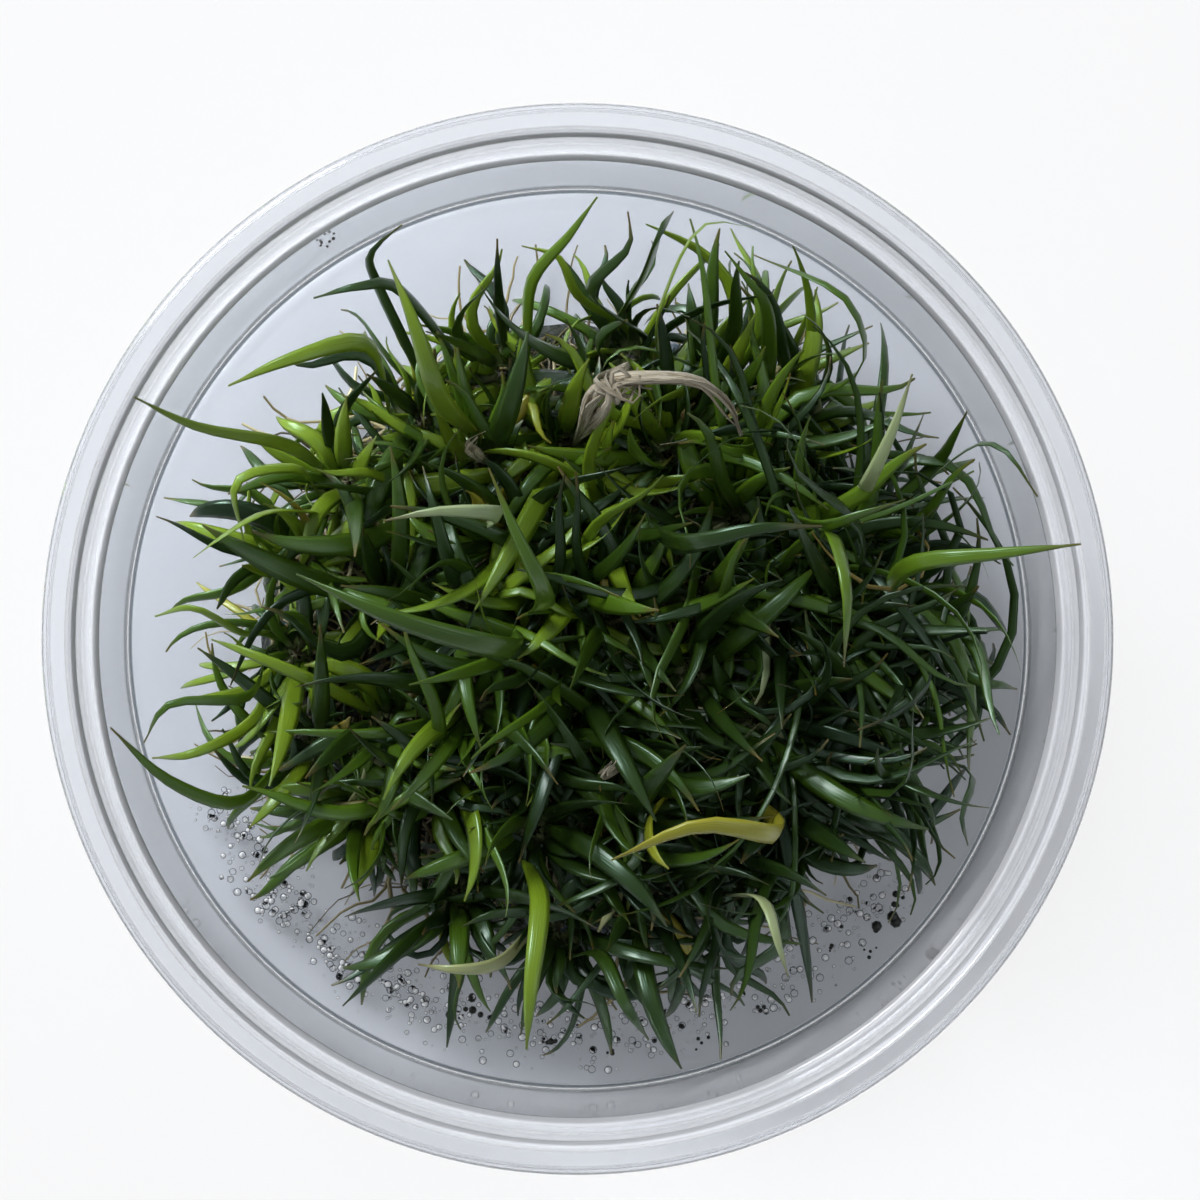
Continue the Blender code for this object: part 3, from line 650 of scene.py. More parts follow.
def is_clear(leaf, plantlet, fixed, others):
    """Whether a leaf keeps its clearance from the cup, the mat, the free room and other leaves."""
    whole = leaf.tube(CLEAR_OF_CROWN, CLEAR)
    outer = leaf.tube(CLEAR_OF_TUFT, CLEAR)
    if any(whole.meets(obstacle) for obstacle in fixed):
        return False
    for owner, tubes in others.items():
        mine = outer if owner is plantlet else whole
        if any(mine.meets(tube) for tube in tubes):
            return False
    return True


def add_leaf(leaf, plantlet, index, others):
    plantlet.leaves[index] = leaf
    others[plantlet].append(leaf.tube(CLEAR_OF_CROWN, 0.0))


def landmark_leaf(rng, plantlet, index, points, width, fixed, others):
    """A leaf from a socket through the photograph's points, loosened a little where it is not clear."""
    start, angle, side = plantlet.socket(index)
    sprout = start + along(angle, math.radians(SPROUT_CLIMB)) * SPROUT
    for attempt in range(TRIES):
        loose = LOOSENED * attempt / TRIES
        moved = [point + Vector([rng.gauss(0, spread) for spread in (LOOSE_ASIDE, LOOSE_ASIDE, 1)]) * loose
                 for point in points]
        route = smooth_route([start, sprout] + moved, LANDMARK_STEPS)
        leaf = Leaf(route, side, width, rng.uniform(-LANDMARK_ROLL, LANDMARK_ROLL), LANDMARK_SPANS)
        if is_clear(leaf, plantlet, fixed, others):
            return leaf
    return None


def add_landmark_leaves(rng, plantlets, fixed, others):
    scale = Vector((RIM_DIAMETER / PHOTO_RIM, RIM_DIAMETER / PHOTO_RIM, CUP_HEIGHT / PHOTO_HEIGHT))
    for name, (width, *spots) in LANDMARK_LEAVES.items():
        points = [Vector(spot) * scale for spot in spots]
        for plantlet, index in likely_sockets(plantlets, points[0], points[1]):
            leaf = landmark_leaf(rng, plantlet, index, points, width, fixed, others)
            if leaf:
                leaf.landmark = name
                add_leaf(leaf, plantlet, index, others)
                break


def add_grown_leaves(rng, plantlets, fixed, others):
    for index in range(LEAVES_EACH):
        for plantlet in plantlets:
            if index in plantlet.leaves:
                continue
            start, angle, side = plantlet.socket(index)
            outward = math.atan2(plantlet.foot.y, plantlet.foot.x)
            for _ in range(TRIES):
                route = grown_route(rng, start, angle, outward)
                width = rng.uniform(*LEAF_WIDTH)
                roll = math.radians(rng.uniform(-LEAF_ROLL, LEAF_ROLL))
                if not under_dome(route):
                    continue
                leaf = Leaf(route, side, width, roll, GROWN_SPANS)
                if is_clear(leaf, plantlet, fixed, others):
                    add_leaf(leaf, plantlet, index, others)
                    break


def grow_plantlets(ground, fixed):
    """All the plantlets, with the leaves of the photograph first and the others grown round them."""
    rng = random.Random(SEED)
    plantlets = [Plantlet(*place, ground) for place in crown_places(rng)]
    others = {plantlet: [Obstacle(*plantlet.mesh())] for plantlet in plantlets}
    add_landmark_leaves(rng, plantlets, fixed, others)
    add_grown_leaves(rng, plantlets, fixed, others)
    return plantlets


def srgb(text):
    """A colour written as #rrggbb, made linear for a shader."""
    values = [int(text[i:i + 2], 16) / 255 for i in (1, 3, 5)]
    return tuple(v / 12.92 if v <= 0.04045 else ((v + 0.055) / 1.055) ** 2.4 for v in values) + (1.0,)


def add(tree, kind, inputs, stops=(), **settings):
    """A node with its settings, its colour stops and its inputs. An input is a value, the socket that
    feeds it, or a node whose first output does."""
    node = tree.nodes.new(kind)
    for name, value in settings.items():
        setattr(node, name, value)
    for _ in stops[2:]:
        node.color_ramp.elements.new(0.5)
    for index, (place, colour) in enumerate(stops):
        node.color_ramp.elements[index].position = place
        node.color_ramp.elements[index].color = srgb(colour)
    for key, value in inputs.items():
        if isinstance(value, bpy.types.Node):
            value = value.outputs[0]
        if isinstance(value, bpy.types.NodeSocket):
            tree.links.new(value, node.inputs[key])
        else:
            node.inputs[key].default_value = value
    return node


def new_material(name):
    """A material with an empty node tree."""
    material = bpy.data.materials.new(name)
    material.use_nodes = True
    material.node_tree.nodes.clear()
    return material, material.node_tree


def moulded_polypropylene():
    """Clear polypropylene from a polished mould, tinted cool grey: darker on the floor, a painted shade,
    and lighter up the wall, a painted light. Its corner at the floor is painted dark, a painted shade
    line, its upper bends are a little hazy, and its wall looks milky along its surface, most of all low
    down. Faint ripples bend the reflections, and lamp light passes it to reach the leaves."""
    material, tree = new_material("moulded_polypropylene")
    place = add(tree, "ShaderNodeTexCoord", {}).outputs["Object"]
    ripples = add(tree, "ShaderNodeTexNoise",
                  {"Vector": place, "Scale": 1 / (RIPPLE * MM), "Detail": 0.0})
    normal = add(tree, "ShaderNodeBump",
                 {"Height": ripples, "Distance": RIPPLE_DEPTH * MM, "Strength": 0.15})
    axes = add(tree, "ShaderNodeSeparateXYZ", {0: place})
    height = axes.outputs["Z"]
    level = add(tree, "ShaderNodeCombineXYZ", {"X": axes.outputs["X"], "Y": axes.outputs["Y"]})
    reach = add(tree, "ShaderNodeVectorMath", {0: level}, operation="LENGTH").outputs["Value"]
    section = add(tree, "ShaderNodeCombineXYZ", {"X": reach, "Y": height})
    from_corner, from_ledge, from_mouth = [
        add(tree, "ShaderNodeVectorMath", {0: section, 1: (bend[0] * MM, bend[1] * MM, 0)},
            operation="DISTANCE").outputs["Value"]
        for bend in (CORNER_BEND, LEDGE_BEND, MOUTH_BEND)]
    # Painted shade and light: the plastic's cool tint is darker on the floor and lighter up the wall
    painted_light_up_wall = add(tree, "ShaderNodeMapRange", {
        "Value": height, "From Min": WALL_FOOT[0] * MM, "From Max": WALL_FOOT[1] * MM})
    tint_and_painted_shade = add(tree, "ShaderNodeMix", {0: painted_light_up_wall, 6: srgb("#dfe2e6"), 7: srgb("#fafbfd")},
               data_type="RGBA").outputs[2]
    # Painted shade: a dark line along the floor's corner, standing in for the dark that refraction gives
    # there
    off_painted_corner_shade = add(tree, "ShaderNodeMapRange", {
        "Value": from_corner, "From Min": PAINTED_CORNER_SHADE[0] * MM, "From Max": PAINTED_CORNER_SHADE[1] * MM})
    with_painted_corner_shade = add(tree, "ShaderNodeMix", {0: off_painted_corner_shade, 6: srgb("#525a60"), 7: tint_and_painted_shade},
                data_type="RGBA").outputs[2]
    off_bends = add(tree, "ShaderNodeMath", {0: from_ledge, 1: from_mouth}, operation="MINIMUM")
    clearness = add(tree, "ShaderNodeMapRange", {
        "Value": off_bends, "From Min": HAZE_REACH[0] * MM, "From Max": HAZE_REACH[1] * MM,
        "To Min": CLEARNESS[0], "To Max": CLEARNESS[1]})
    facing = add(tree, "ShaderNodeLayerWeight", {"Blend": 0.5}).outputs["Facing"]
    milky = add(tree, "ShaderNodeMapRange", {
        "Value": facing, "From Min": GRAZING[0], "From Max": GRAZING[1]})
    low = add(tree, "ShaderNodeMapRange", {
        "Value": height, "From Min": MILK_HEIGHTS[0] * MM, "From Max": MILK_HEIGHTS[1] * MM,
        "To Min": MILK[0], "To Max": MILK[1]})
    milk = add(tree, "ShaderNodeMath", {0: milky, 1: low}, operation="MULTIPLY")
    left_clear = add(tree, "ShaderNodeMath", {0: clearness, 1: milk}, operation="SUBTRACT")
    plastic = add(tree, "ShaderNodeBsdfPrincipled", {
        "Base Color": with_painted_corner_shade, "Roughness": 0.07, "IOR": 1.49, "Transmission Weight": left_clear,
        "Normal": normal})
    rays = add(tree, "ShaderNodeLightPath", {})
    passed = add(tree, "ShaderNodeMath", {0: rays.outputs["Is Shadow Ray"], 1: LAMP_LIGHT_PASSED},
                 operation="MULTIPLY")
    clear = add(tree, "ShaderNodeBsdfTransparent", {})
    blend = add(tree, "ShaderNodeMixShader", {0: passed, 1: plastic, 2: clear})
    add(tree, "ShaderNodeOutputMaterial", {"Surface": blend})
    return material


def along_blade(tree):
    """What a leaf's mesh tells its material: the share of its length, its own tone, and a place on its
    blade that no other leaf has."""
    across, along_leaf, tone = [add(tree, "ShaderNodeAttribute", {}, attribute_name=name).outputs["Fac"]
                                for name in ("across", "along_leaf", "tone")]
    return along_leaf, tone, add(tree, "ShaderNodeCombineXYZ", {"X": across, "Y": along_leaf, "Z": tone})


def leaf_skin():
    """Fleshy strap leaves, grown under glass. Each has a green of its own that pales to its base and
    may brown at its tip. The greens also carry painted light and shade, brighter towards the window and
    darker in the undergrowth, and the pale ones are partly painted sheen. Fine veins streak it, and a
    wet skin gives it cool highlights."""
    material, tree = new_material("lilaeopsis_leaf")
    along_leaf, tone, blade = along_blade(tree)
    age = add(tree, "ShaderNodeAttribute", {}, attribute_name="age").outputs["Fac"]
    own = add(tree, "ShaderNodeValToRGB", {"Fac": tone}, stops=LEAF_TONES)
    veins = add(tree, "ShaderNodeTexNoise",
                {"Vector": blade, "Scale": VEINS_PER_HALF_BLADE, "Detail": 0.0})
    veined = add(tree, "ShaderNodeMapRange",
                 {"Value": veins, "From Min": 0.35, "From Max": 0.7, "To Max": 0.35})
    streaked = add(tree, "ShaderNodeMix", {0: veined, 6: own, 7: srgb("#9db24a")},
                   data_type="RGBA", blend_type="SOFT_LIGHT").outputs[2]
    near_base = add(tree, "ShaderNodeMapRange", {
        "Value": along_leaf, "From Min": 0.02, "From Max": 0.16, "To Min": 0.8, "To Max": 0.0})
    based = add(tree, "ShaderNodeMix", {0: near_base, 6: streaked, 7: srgb("#c3c99a")},
                data_type="RGBA").outputs[2]
    near_tip = add(tree, "ShaderNodeMapRange", {"Value": along_leaf, "From Min": 0.88})
    browned = add(tree, "ShaderNodeMath", {0: near_tip, 1: age}, operation="MULTIPLY")
    colour = add(tree, "ShaderNodeMix", {0: browned, 6: based, 7: srgb("#6b5423")},
                 data_type="RGBA").outputs[2]
    normal = add(tree, "ShaderNodeBump", {"Height": veins, "Distance": VEIN_DEPTH * MM, "Strength": 0.6})
    leaf = add(tree, "ShaderNodeBsdfPrincipled", {
        "Base Color": colour, "Roughness": 0.32, "IOR": 1.55, "Specular Tint": srgb("#b9f0cf"),
        "Coat Weight": 0.6, "Coat Roughness": 0.25, "Normal": normal})
    add(tree, "ShaderNodeOutputMaterial", {"Surface": leaf})
    return material


def root_skin():
    """Runners and roots, wet from the gel: cream where young, brown with age."""
    material, tree = new_material("lilaeopsis_root")
    tone = add(tree, "ShaderNodeAttribute", {}, attribute_name="tone").outputs["Fac"]
    own = add(tree, "ShaderNodeValToRGB", {"Fac": tone}, stops=ROOT_TONES)
    root = add(tree, "ShaderNodeBsdfPrincipled", {
        "Base Color": own, "Roughness": 0.35, "Coat Weight": 0.3, "Coat Roughness": 0.15})
    add(tree, "ShaderNodeOutputMaterial", {"Surface": root})
    return material


def packed_mat():
    """Old roots packed into a mat and soaked: near black-green, lumpy, with bluish films of gel."""
    material, tree = new_material("packed_roots")
    place = add(tree, "ShaderNodeTexCoord", {}).outputs["Object"]
    lumps = add(tree, "ShaderNodeTexNoise", {"Vector": place, "Scale": 1 / (MAT_CLOD * MM), "Detail": 4.0})
    fibres = add(tree, "ShaderNodeTexNoise", {"Vector": place, "Scale": 1 / (MAT_FIBRE * MM), "Detail": 3.0})
    films = add(tree, "ShaderNodeTexNoise", {"Vector": place, "Scale": 1 / (GEL_FILM * MM)})
    earth = add(tree, "ShaderNodeValToRGB", {"Fac": lumps},
                stops=((0.3, "#0b120a"), (0.55, "#1f2716"), (0.8, "#4a4a2c")))
    filmed = add(tree, "ShaderNodeMapRange", {"Value": films, "From Min": 0.6, "From Max": 0.68})
    colour = add(tree, "ShaderNodeMix", {0: filmed, 6: earth, 7: srgb("#43525c")},
                 data_type="RGBA").outputs[2]
    normal = add(tree, "ShaderNodeBump", {"Height": fibres, "Distance": MAT_FIBRE_DEPTH * MM})
    mat = add(tree, "ShaderNodeBsdfPrincipled", {
        "Base Color": colour, "Roughness": 0.35, "Normal": normal})
    add(tree, "ShaderNodeOutputMaterial", {"Surface": mat})
    return material


def condensed_water():
    """Drops that condensed in the closed cup. Each is a small lens whose colour darkens towards its rim,
    a painted shade, and in some patches the drops are made white and less clear, a painted glint of
    the window."""
    material, tree = new_material("condensed_water")
    place = add(tree, "ShaderNodeTexCoord", {}).outputs["Object"]
    glint_patches = add(tree, "ShaderNodeTexNoise", {"Vector": place, "Scale": 1 / (DROP_GLINT_PATCH * MM)})
    facing = add(tree, "ShaderNodeLayerWeight", {"Blend": 0.5})
    # Painted shade: each drop's colour darkens towards its rim
    rim = add(tree, "ShaderNodeValToRGB", {"Fac": facing.outputs["Facing"]},
              stops=((0.35, "#ffffff"), (0.6, "#4a5258")))
    # Painted glint: in some patches the drops are made white and less clear
    painted_glint = add(tree, "ShaderNodeMapRange", {
        "Value": glint_patches, "From Min": 0.5, "From Max": 0.56, "To Min": 1.0, "To Max": 0.25})
    water = add(tree, "ShaderNodeBsdfPrincipled", {
        "Base Color": rim, "Roughness": 0.03, "IOR": 1.33,
        "Transmission Weight": painted_glint})
    add(tree, "ShaderNodeOutputMaterial", {"Surface": water})
    return material


def wet_crumb():
    """Bits of dead plant on the floor and the wall, nearly black from the wet."""
    material, tree = new_material("wet_crumb")
    crumb = add(tree, "ShaderNodeBsdfPrincipled", {"Base Color": srgb("#14170f"), "Roughness": 0.3})
    add(tree, "ShaderNodeOutputMaterial", {"Surface": crumb})
    return material


def culture_gel():
    """Left-over culture gel: bluish, wet and half clear, so that it takes the dark of what is under it."""
    material, tree = new_material("culture_gel")
    place = add(tree, "ShaderNodeTexCoord", {}).outputs["Object"]
    dents = add(tree, "ShaderNodeTexNoise", {"Vector": place, "Scale": 1 / (GEL_DENT * MM)})
    normal = add(tree, "ShaderNodeBump", {"Height": dents, "Distance": GEL_DENT_DEPTH * MM})
    gel = add(tree, "ShaderNodeBsdfPrincipled", {
        "Base Color": srgb("#8496a3"), "Roughness": 0.12, "IOR": 1.34, "Transmission Weight": 0.55,
        "Normal": normal})
    add(tree, "ShaderNodeOutputMaterial", {"Surface": gel})
    return material


def papery_leaf():
    """A dead leaf, dried to cream paper, with brown wrinkles along it."""
    material, tree = new_material("papery_dead_leaf")
    blade = along_blade(tree)[-1]
    wrinkles = add(tree, "ShaderNodeTexNoise",
                   {"Vector": blade, "Scale": WRINKLES_PER_HALF_BLADE, "Detail": 4.0})
    own = add(tree, "ShaderNodeValToRGB", {"Fac": wrinkles},
              stops=((0.3, "#7d6448"), (0.4, "#c4b392"), (0.55, "#e4dbc3"), (0.75, "#f4eedd")))
    normal = add(tree, "ShaderNodeBump", {"Height": wrinkles, "Distance": WRINKLE_DEPTH * MM})
    paper = add(tree, "ShaderNodeBsdfPrincipled", {"Base Color": own, "Roughness": 0.6, "Normal": normal})
    add(tree, "ShaderNodeOutputMaterial", {"Surface": paper})
    return material


def linked(name, data):
    """A new object at the origin, in the scene."""
    obj = bpy.data.objects.new(name, data)
    bpy.context.scene.collection.objects.link(obj)
    return obj


def node_tree(name, sockets):
    """A Geometry Nodes tree with a geometry in and out, named inputs and a material."""
    tree = bpy.data.node_groups.new(name, "GeometryNodeTree")
    tree.interface.new_socket("Geometry", in_out="INPUT", socket_type="NodeSocketGeometry")
    tree.interface.new_socket("Geometry", in_out="OUTPUT", socket_type="NodeSocketGeometry")
    for label, kind in (*sockets, ("Material", "NodeSocketMaterial")):
        tree.interface.new_socket(label, in_out="INPUT", socket_type=kind)
    return tree, add(tree, "NodeGroupInput", {})


def finish_tree(tree, geometry, source):
    """Shades smooth, realizes and sets the material that the tree was given."""
    smooth = add(tree, "GeometryNodeSetShadeSmooth", {0: geometry})
    real = add(tree, "GeometryNodeRealizeInstances", {0: smooth})
    painted = add(tree, "GeometryNodeSetMaterial", {0: real, "Material": source.outputs["Material"]})
    add(tree, "NodeGroupOutput", {0: painted})


def sweep_tree():
    """Sweeps a flattened round section along midribs that hold their own half width and blade side."""
    tree, source = node_tree("sweep_along_midribs",
                             (("Sides", "NodeSocketInt"), ("Flatness", "NodeSocketFloat")))
    curves = add(tree, "GeometryNodeMeshToCurve", {"Mesh": source.outputs["Geometry"]})
    blade_side = add(tree, "GeometryNodeInputNamedAttribute", {"Name": "blade_side"},
                     data_type="FLOAT_VECTOR")
    half_width = add(tree, "GeometryNodeInputNamedAttribute", {"Name": "half_width"}, data_type="FLOAT")
    turned_curves = add(tree, "GeometryNodeSetCurveNormal",
                        {0: curves, "Normal": blade_side.outputs["Attribute"]}, mode="FREE")
    circle = add(tree, "GeometryNodeCurvePrimitiveCircle",
                 {"Resolution": source.outputs["Sides"], "Radius": 1.0})
    position = add(tree, "GeometryNodeInputPosition", {})
    place = add(tree, "ShaderNodeSeparateXYZ", {0: position})
    marked = add(tree, "GeometryNodeStoreNamedAttribute",
                 {"Geometry": circle, "Name": "across", "Value": place.outputs["X"]},
                 data_type="FLOAT", domain="POINT")
    flat = add(tree, "ShaderNodeCombineXYZ", {"X": 1.0, "Y": source.outputs["Flatness"], "Z": 1.0})
    section = add(tree, "GeometryNodeTransform", {0: marked, "Scale": flat})
    swept = add(tree, "GeometryNodeCurveToMesh", {
        "Curve": turned_curves, "Profile Curve": section,
        "Scale": half_width.outputs["Attribute"], "Fill Caps": True})
    finish_tree(tree, swept, source)
    return tree


def drops_tree():
    """Sets a round-topped drop with a flat foot on each point, of the point's own size."""
    tree, source = node_tree("drops_on_points",
                             (("Segments", "NodeSocketInt"), ("Squash", "NodeSocketFloat")))
    ball = add(tree, "GeometryNodeMeshUVSphere",
               {"Radius": 1.0, "Segments": source.outputs["Segments"], "Rings": LUMP_RINGS})
    position = add(tree, "GeometryNodeInputPosition", {})
    place = add(tree, "ShaderNodeSeparateXYZ", {0: position})
    height = add(tree, "ShaderNodeMath", {0: place.outputs["Z"], 1: 0.0}, operation="MAXIMUM")
    squashed = add(tree, "ShaderNodeMath", {0: height, 1: source.outputs["Squash"]},
                   operation="MULTIPLY")
    moved = add(tree, "ShaderNodeCombineXYZ",
                {"X": place.outputs["X"], "Y": place.outputs["Y"], "Z": squashed})
    drop = add(tree, "GeometryNodeSetPosition", {0: ball, "Position": moved})
    size = add(tree, "GeometryNodeInputNamedAttribute", {"Name": "size"}, data_type="FLOAT")
    placed = add(tree, "GeometryNodeInstanceOnPoints",
                 {"Points": source.outputs["Geometry"], "Instance": drop,
                  "Scale": size.outputs["Attribute"]})
    finish_tree(tree, placed, source)
    return tree


def realized(name, obj, tree, values):
    """The plain mesh that a Geometry Nodes tree makes of an object, as a new object."""
    modifier = obj.modifiers.new("nodes", "NODES")
    modifier.node_group = tree
    for item in tree.interface.items_tree:
        if item.in_out == "INPUT" and item.name in values:
            modifier[item.identifier] = values[item.name]
    bpy.context.view_layer.update()
    shape = obj.evaluated_get(bpy.context.evaluated_depsgraph_get())
    mesh = bpy.data.meshes.new_from_object(shape)
    mesh.name = name
    bpy.data.objects.remove(obj)
    return linked(name, mesh)


def strands_object(strands):
    """Polylines with the values that the sweep reads. A strand is rows of point, blade side, half
    width and share of its length, and a tone and an age of its own."""
    points, edges, sides, widths, shares, tones, ages = [], [], [], [], [], [], []
    for rows, tone, age in strands:
        first = len(points)
        edges += [(first + i, first + i + 1) for i in range(len(rows) - 1)]
        for point, side, half_width, share in rows:
            points.append(point * MM)
            sides.extend(side)
            widths.append(half_width * MM)
            shares.append(share)
            tones.append(tone)
            ages.append(age)
    mesh = bpy.data.meshes.new("strands")
    mesh.from_pydata(points, edges, [])
    for name, values in (("half_width", widths), ("along_leaf", shares), ("tone", tones), ("age", ages)):
        mesh.attributes.new(name, "FLOAT", "POINT").data.foreach_set("value", values)
    mesh.attributes.new("blade_side", "FLOAT_VECTOR", "POINT").data.foreach_set("vector", sides)
    return linked("strands", mesh)


def strap_share(share):
    """A young leaf's width along it: nearly even, and rounded off at the tip."""
    rise = min(share / STRAP_FULL_FROM, 1)
    return (STRAP_BASE + (1 - STRAP_BASE) * rise) * (1 - share ** STRAP_POINT)


def leaf_rows(leaf, count, width_share):
    """Stations along a leaf, closer together towards its tip."""
    rows = []
    for index in range(count + 1):
        share = 1 - (1 - index / count) ** TIP_CROWDING
        point, side, _ = leaf.station(share)
        half_width = max(leaf.width * width_share(share) / 2, TIP_RADIUS)
        rows.append((point, side, half_width, share))
    return rows


def leaf_tone(rng, brightness):
    """Most leaves are deep green, some bright, a few yellowing or pale, the pale partly painted sheen. A
    share scales the greens: painted light towards the window, painted shade in the undergrowth.
    """
    kind = rng.random()
    for below, tones in TONE_DRAWS:
        if kind < below:
            return min(rng.uniform(*tones) * brightness, BRIGHTEST_GREEN)
    return rng.uniform(*FADED_TONES)


def curled_route(rng, start, angle, length, habit):
    """A midrib that climbs from its start, curls to a side and tips over, as its habit tells."""
    climb = rng.uniform(*habit.climb)
    bend = rng.uniform(*habit.bend)
    drift = rng.gauss(0, habit.drift)
    sway = rng.gauss(0, SWAY)
    route = [start]
    for index in range(CURL_STEPS):
        share = (index + 0.5) / CURL_STEPS
        elevation = math.radians(climb - bend * share ** CURL_LATE)
        heading = angle + drift * share + sway * math.sin(math.tau * share)
        route.append(route[-1] + along(heading, elevation) * length / CURL_STEPS)
    return route


def extra_leaves(rng, plantlet, fixed, habit, edge):
    """More leaves of one tuft, clear of the cup and the mat, between those that the solids have.
    At the clump's edge there are more loose ones, and longer ones on its fuller side."""
    leaves = []
    count = round(habit.count + habit.at_edge * edge)
    stretch = 1 + EDGE_STRETCH * (edge - 1) if edge else 1
    outward = math.atan2(plantlet.foot.y, plantlet.foot.x)
    for _ in range(count * EXTRA_TRIES):
        angle = outward + rng.uniform(-habit.spread, habit.spread)
        start = plantlet.on_crown(angle, EXTRA_REACH, rng.uniform(*EXTRA_HEIGHT))
        route = curled_route(rng, start, angle, stretch * rng.uniform(*habit.length), habit)
        if not under_dome(route) or max(point.z for point in route) > EXTRA_TOP:
            continue
        side = Vector((-math.sin(angle), math.cos(angle), 0))
        roll = math.radians(rng.uniform(-LEAF_ROLL, LEAF_ROLL))
        leaf = Leaf(route, side, rng.uniform(*habit.width), roll, GROWN_SPANS)
        tube = leaf.tube(EXTRA_CLEAR_FROM, EXTRA_CLEAR)
        if not any(tube.meets(obstacle) for obstacle in fixed):
            leaves.append(leaf)
        if len(leaves) == count:
            break
    return leaves


def edge_share(plantlet):
    """How fully loose leaves hang out of a tuft: none in the middle, most on the clump's fuller side."""
    if plantlet.foot.xy.length < EDGE_FROM:
        return 0.0
    direction = math.atan2(plantlet.foot.y, plantlet.foot.x)
    return EDGE_LEAST + EDGE_LEAN * max(math.cos(direction - EDGE_FULLEST), 0) ** 2


def sheath_rows(plantlet):
    """The short pale leaf bases that wrap a crown."""
    for angle in plantlet.angles:
        side = Vector((-math.sin(angle), math.cos(angle), 0))
        yield [(plantlet.on_crown(angle, reach, height), side, half_width, share)
               for reach, height, half_width, share in SHEATH_STATIONS]


def dress_plantlets(plantlets, fixed, sweep, skin):
    """One mesh for each plantlet: its leaves as in the solid, and finer ones between them."""
    rng = random.Random(LOOKS_SEED)
    for number, plantlet in enumerate(plantlets, 1):
        # Painted light: tufts towards the window get brighter greens
        painted_window_light = 1 + WINDOW_PAINTED_LIGHT * plantlet.foot.dot(WINDOW_SIDE)
        strands = [(rows, rng.uniform(*SHEATH_TONES), 0.0) for rows in sheath_rows(plantlet)]
        for leaf in plantlet.leaves.values():
            tone = LANDMARK_TONES.get(leaf.landmark, leaf_tone(rng, painted_window_light))
            strands.append((leaf_rows(leaf, LEAF_STATIONS, blade_share), tone, rng.random()))
        edge = edge_share(plantlet)
        for habit in HABITS:
            for leaf in extra_leaves(rng, plantlet, fixed, habit, edge):
                # Painted shade: the undergrowth habits take darker greens
                tone = leaf_tone(rng, habit.brightness * painted_window_light)
                strands.append((leaf_rows(leaf, EXTRA_STATIONS, strap_share), tone, rng.random()))
        piece = realized(f"leaves_{number:02d}", strands_object(strands), sweep,
                         {"Sides": BLADE_SIDES, "Flatness": BLADE_FLATNESS, "Material": skin})
        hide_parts(f"plantlet_{number:02d}")
        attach(piece, "root")


def seen_at(pixel, height):
    """Where a pixel of the photograph lies in the cup, at a height above its foot."""
    away = CAMERA_ABOVE_RIM + (CUP_HEIGHT - height) * MM
    per_pixel = RIM_DIAMETER / 2 / PHOTO_RIM_RADIUS * away / CAMERA_ABOVE_RIM
    x = (pixel[0] - PHOTO_CUP_MIDDLE[0]) * per_pixel
    y = (PHOTO_CUP_MIDDLE[1] - pixel[1]) * per_pixel
    return Vector((x, y, height))


def ground_height(ground, x, y):
    """The height of the mat's top, or of the cup's floor beside the mat."""
    hit = ground.ray_cast(Vector((x, y, DOME_TOP)), DOWN)[0]
    return hit.z if hit else FOOT_LIFT + FLOOR


def creeping_root(rng, ground, start, heading, length, radius, lift):
    """Stations of a root or runner that winds over the mat and rises by `lift` half way."""
    x, y = start
    rows = []
    for index in range(ROOT_STEPS + 1):
        share = index / ROOT_STEPS
        height = ground_height(ground, x, y) + radius + lift * math.sin(math.pi * share)
        side = Vector((-math.sin(heading), math.cos(heading), 0))
        rows.append((Vector((x, y, height)), side, radius * (1 - ROOT_TAPER * share), share))
        heading += rng.gauss(0, ROOT_WINDING)
        x += length / ROOT_STEPS * math.cos(heading)
        y += length / ROOT_STEPS * math.sin(heading)
        if math.hypot(x, y) > ROOT_REACH:
            break
    return rows


def dress_mat(plantlets, ground, sweep, skin):
    """The mat's tangle of roots, and pale runners from crown to crown."""
    rng = random.Random(LOOKS_SEED)
    strands = []
    for _ in range(ROOTS):
        angle = rng.uniform(0, math.tau)
        reach = mat_radius() * math.sqrt(rng.uniform(0.05, 1.0))
        start = (reach * math.cos(angle), reach * math.sin(angle))
        rows = creeping_root(rng, ground, start, rng.uniform(0, math.tau), rng.uniform(*ROOT_LENGTH),
                             rng.uniform(*ROOT_RADIUS), 0.0)
        strands.append((rows, rng.uniform(*OLD_ROOT_TONES), 0.0))
    for plantlet in plantlets:
        for _ in range(RUNNERS_EACH):
            rows = creeping_root(rng, ground, (plantlet.foot.x, plantlet.foot.y), rng.uniform(0, math.tau),
                                 rng.uniform(*RUNNER_LENGTH), rng.uniform(*RUNNER_RADIUS),
                                 rng.uniform(*RUNNER_LIFT))
            strands.append((rows, rng.uniform(*RUNNER_TONES), 0.0))
    strands = [strand for strand in strands if len(strand[0]) > 2]
    piece = realized("roots", strands_object(strands), sweep,
                     {"Sides": ROOT_SIDES, "Flatness": 1.0, "Material": skin})
    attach(piece, "root")


def sized_points(spots):
    """Loose points with a size each, for the drops to stand on."""
    mesh = bpy.data.meshes.new("points")
    mesh.from_pydata([point * MM for point, _ in spots], [], [])
    sizes = [size * MM for _, size in spots]
    mesh.attributes.new("size", "FLOAT", "POINT").data.foreach_set("value", sizes)
    return linked("points", mesh)


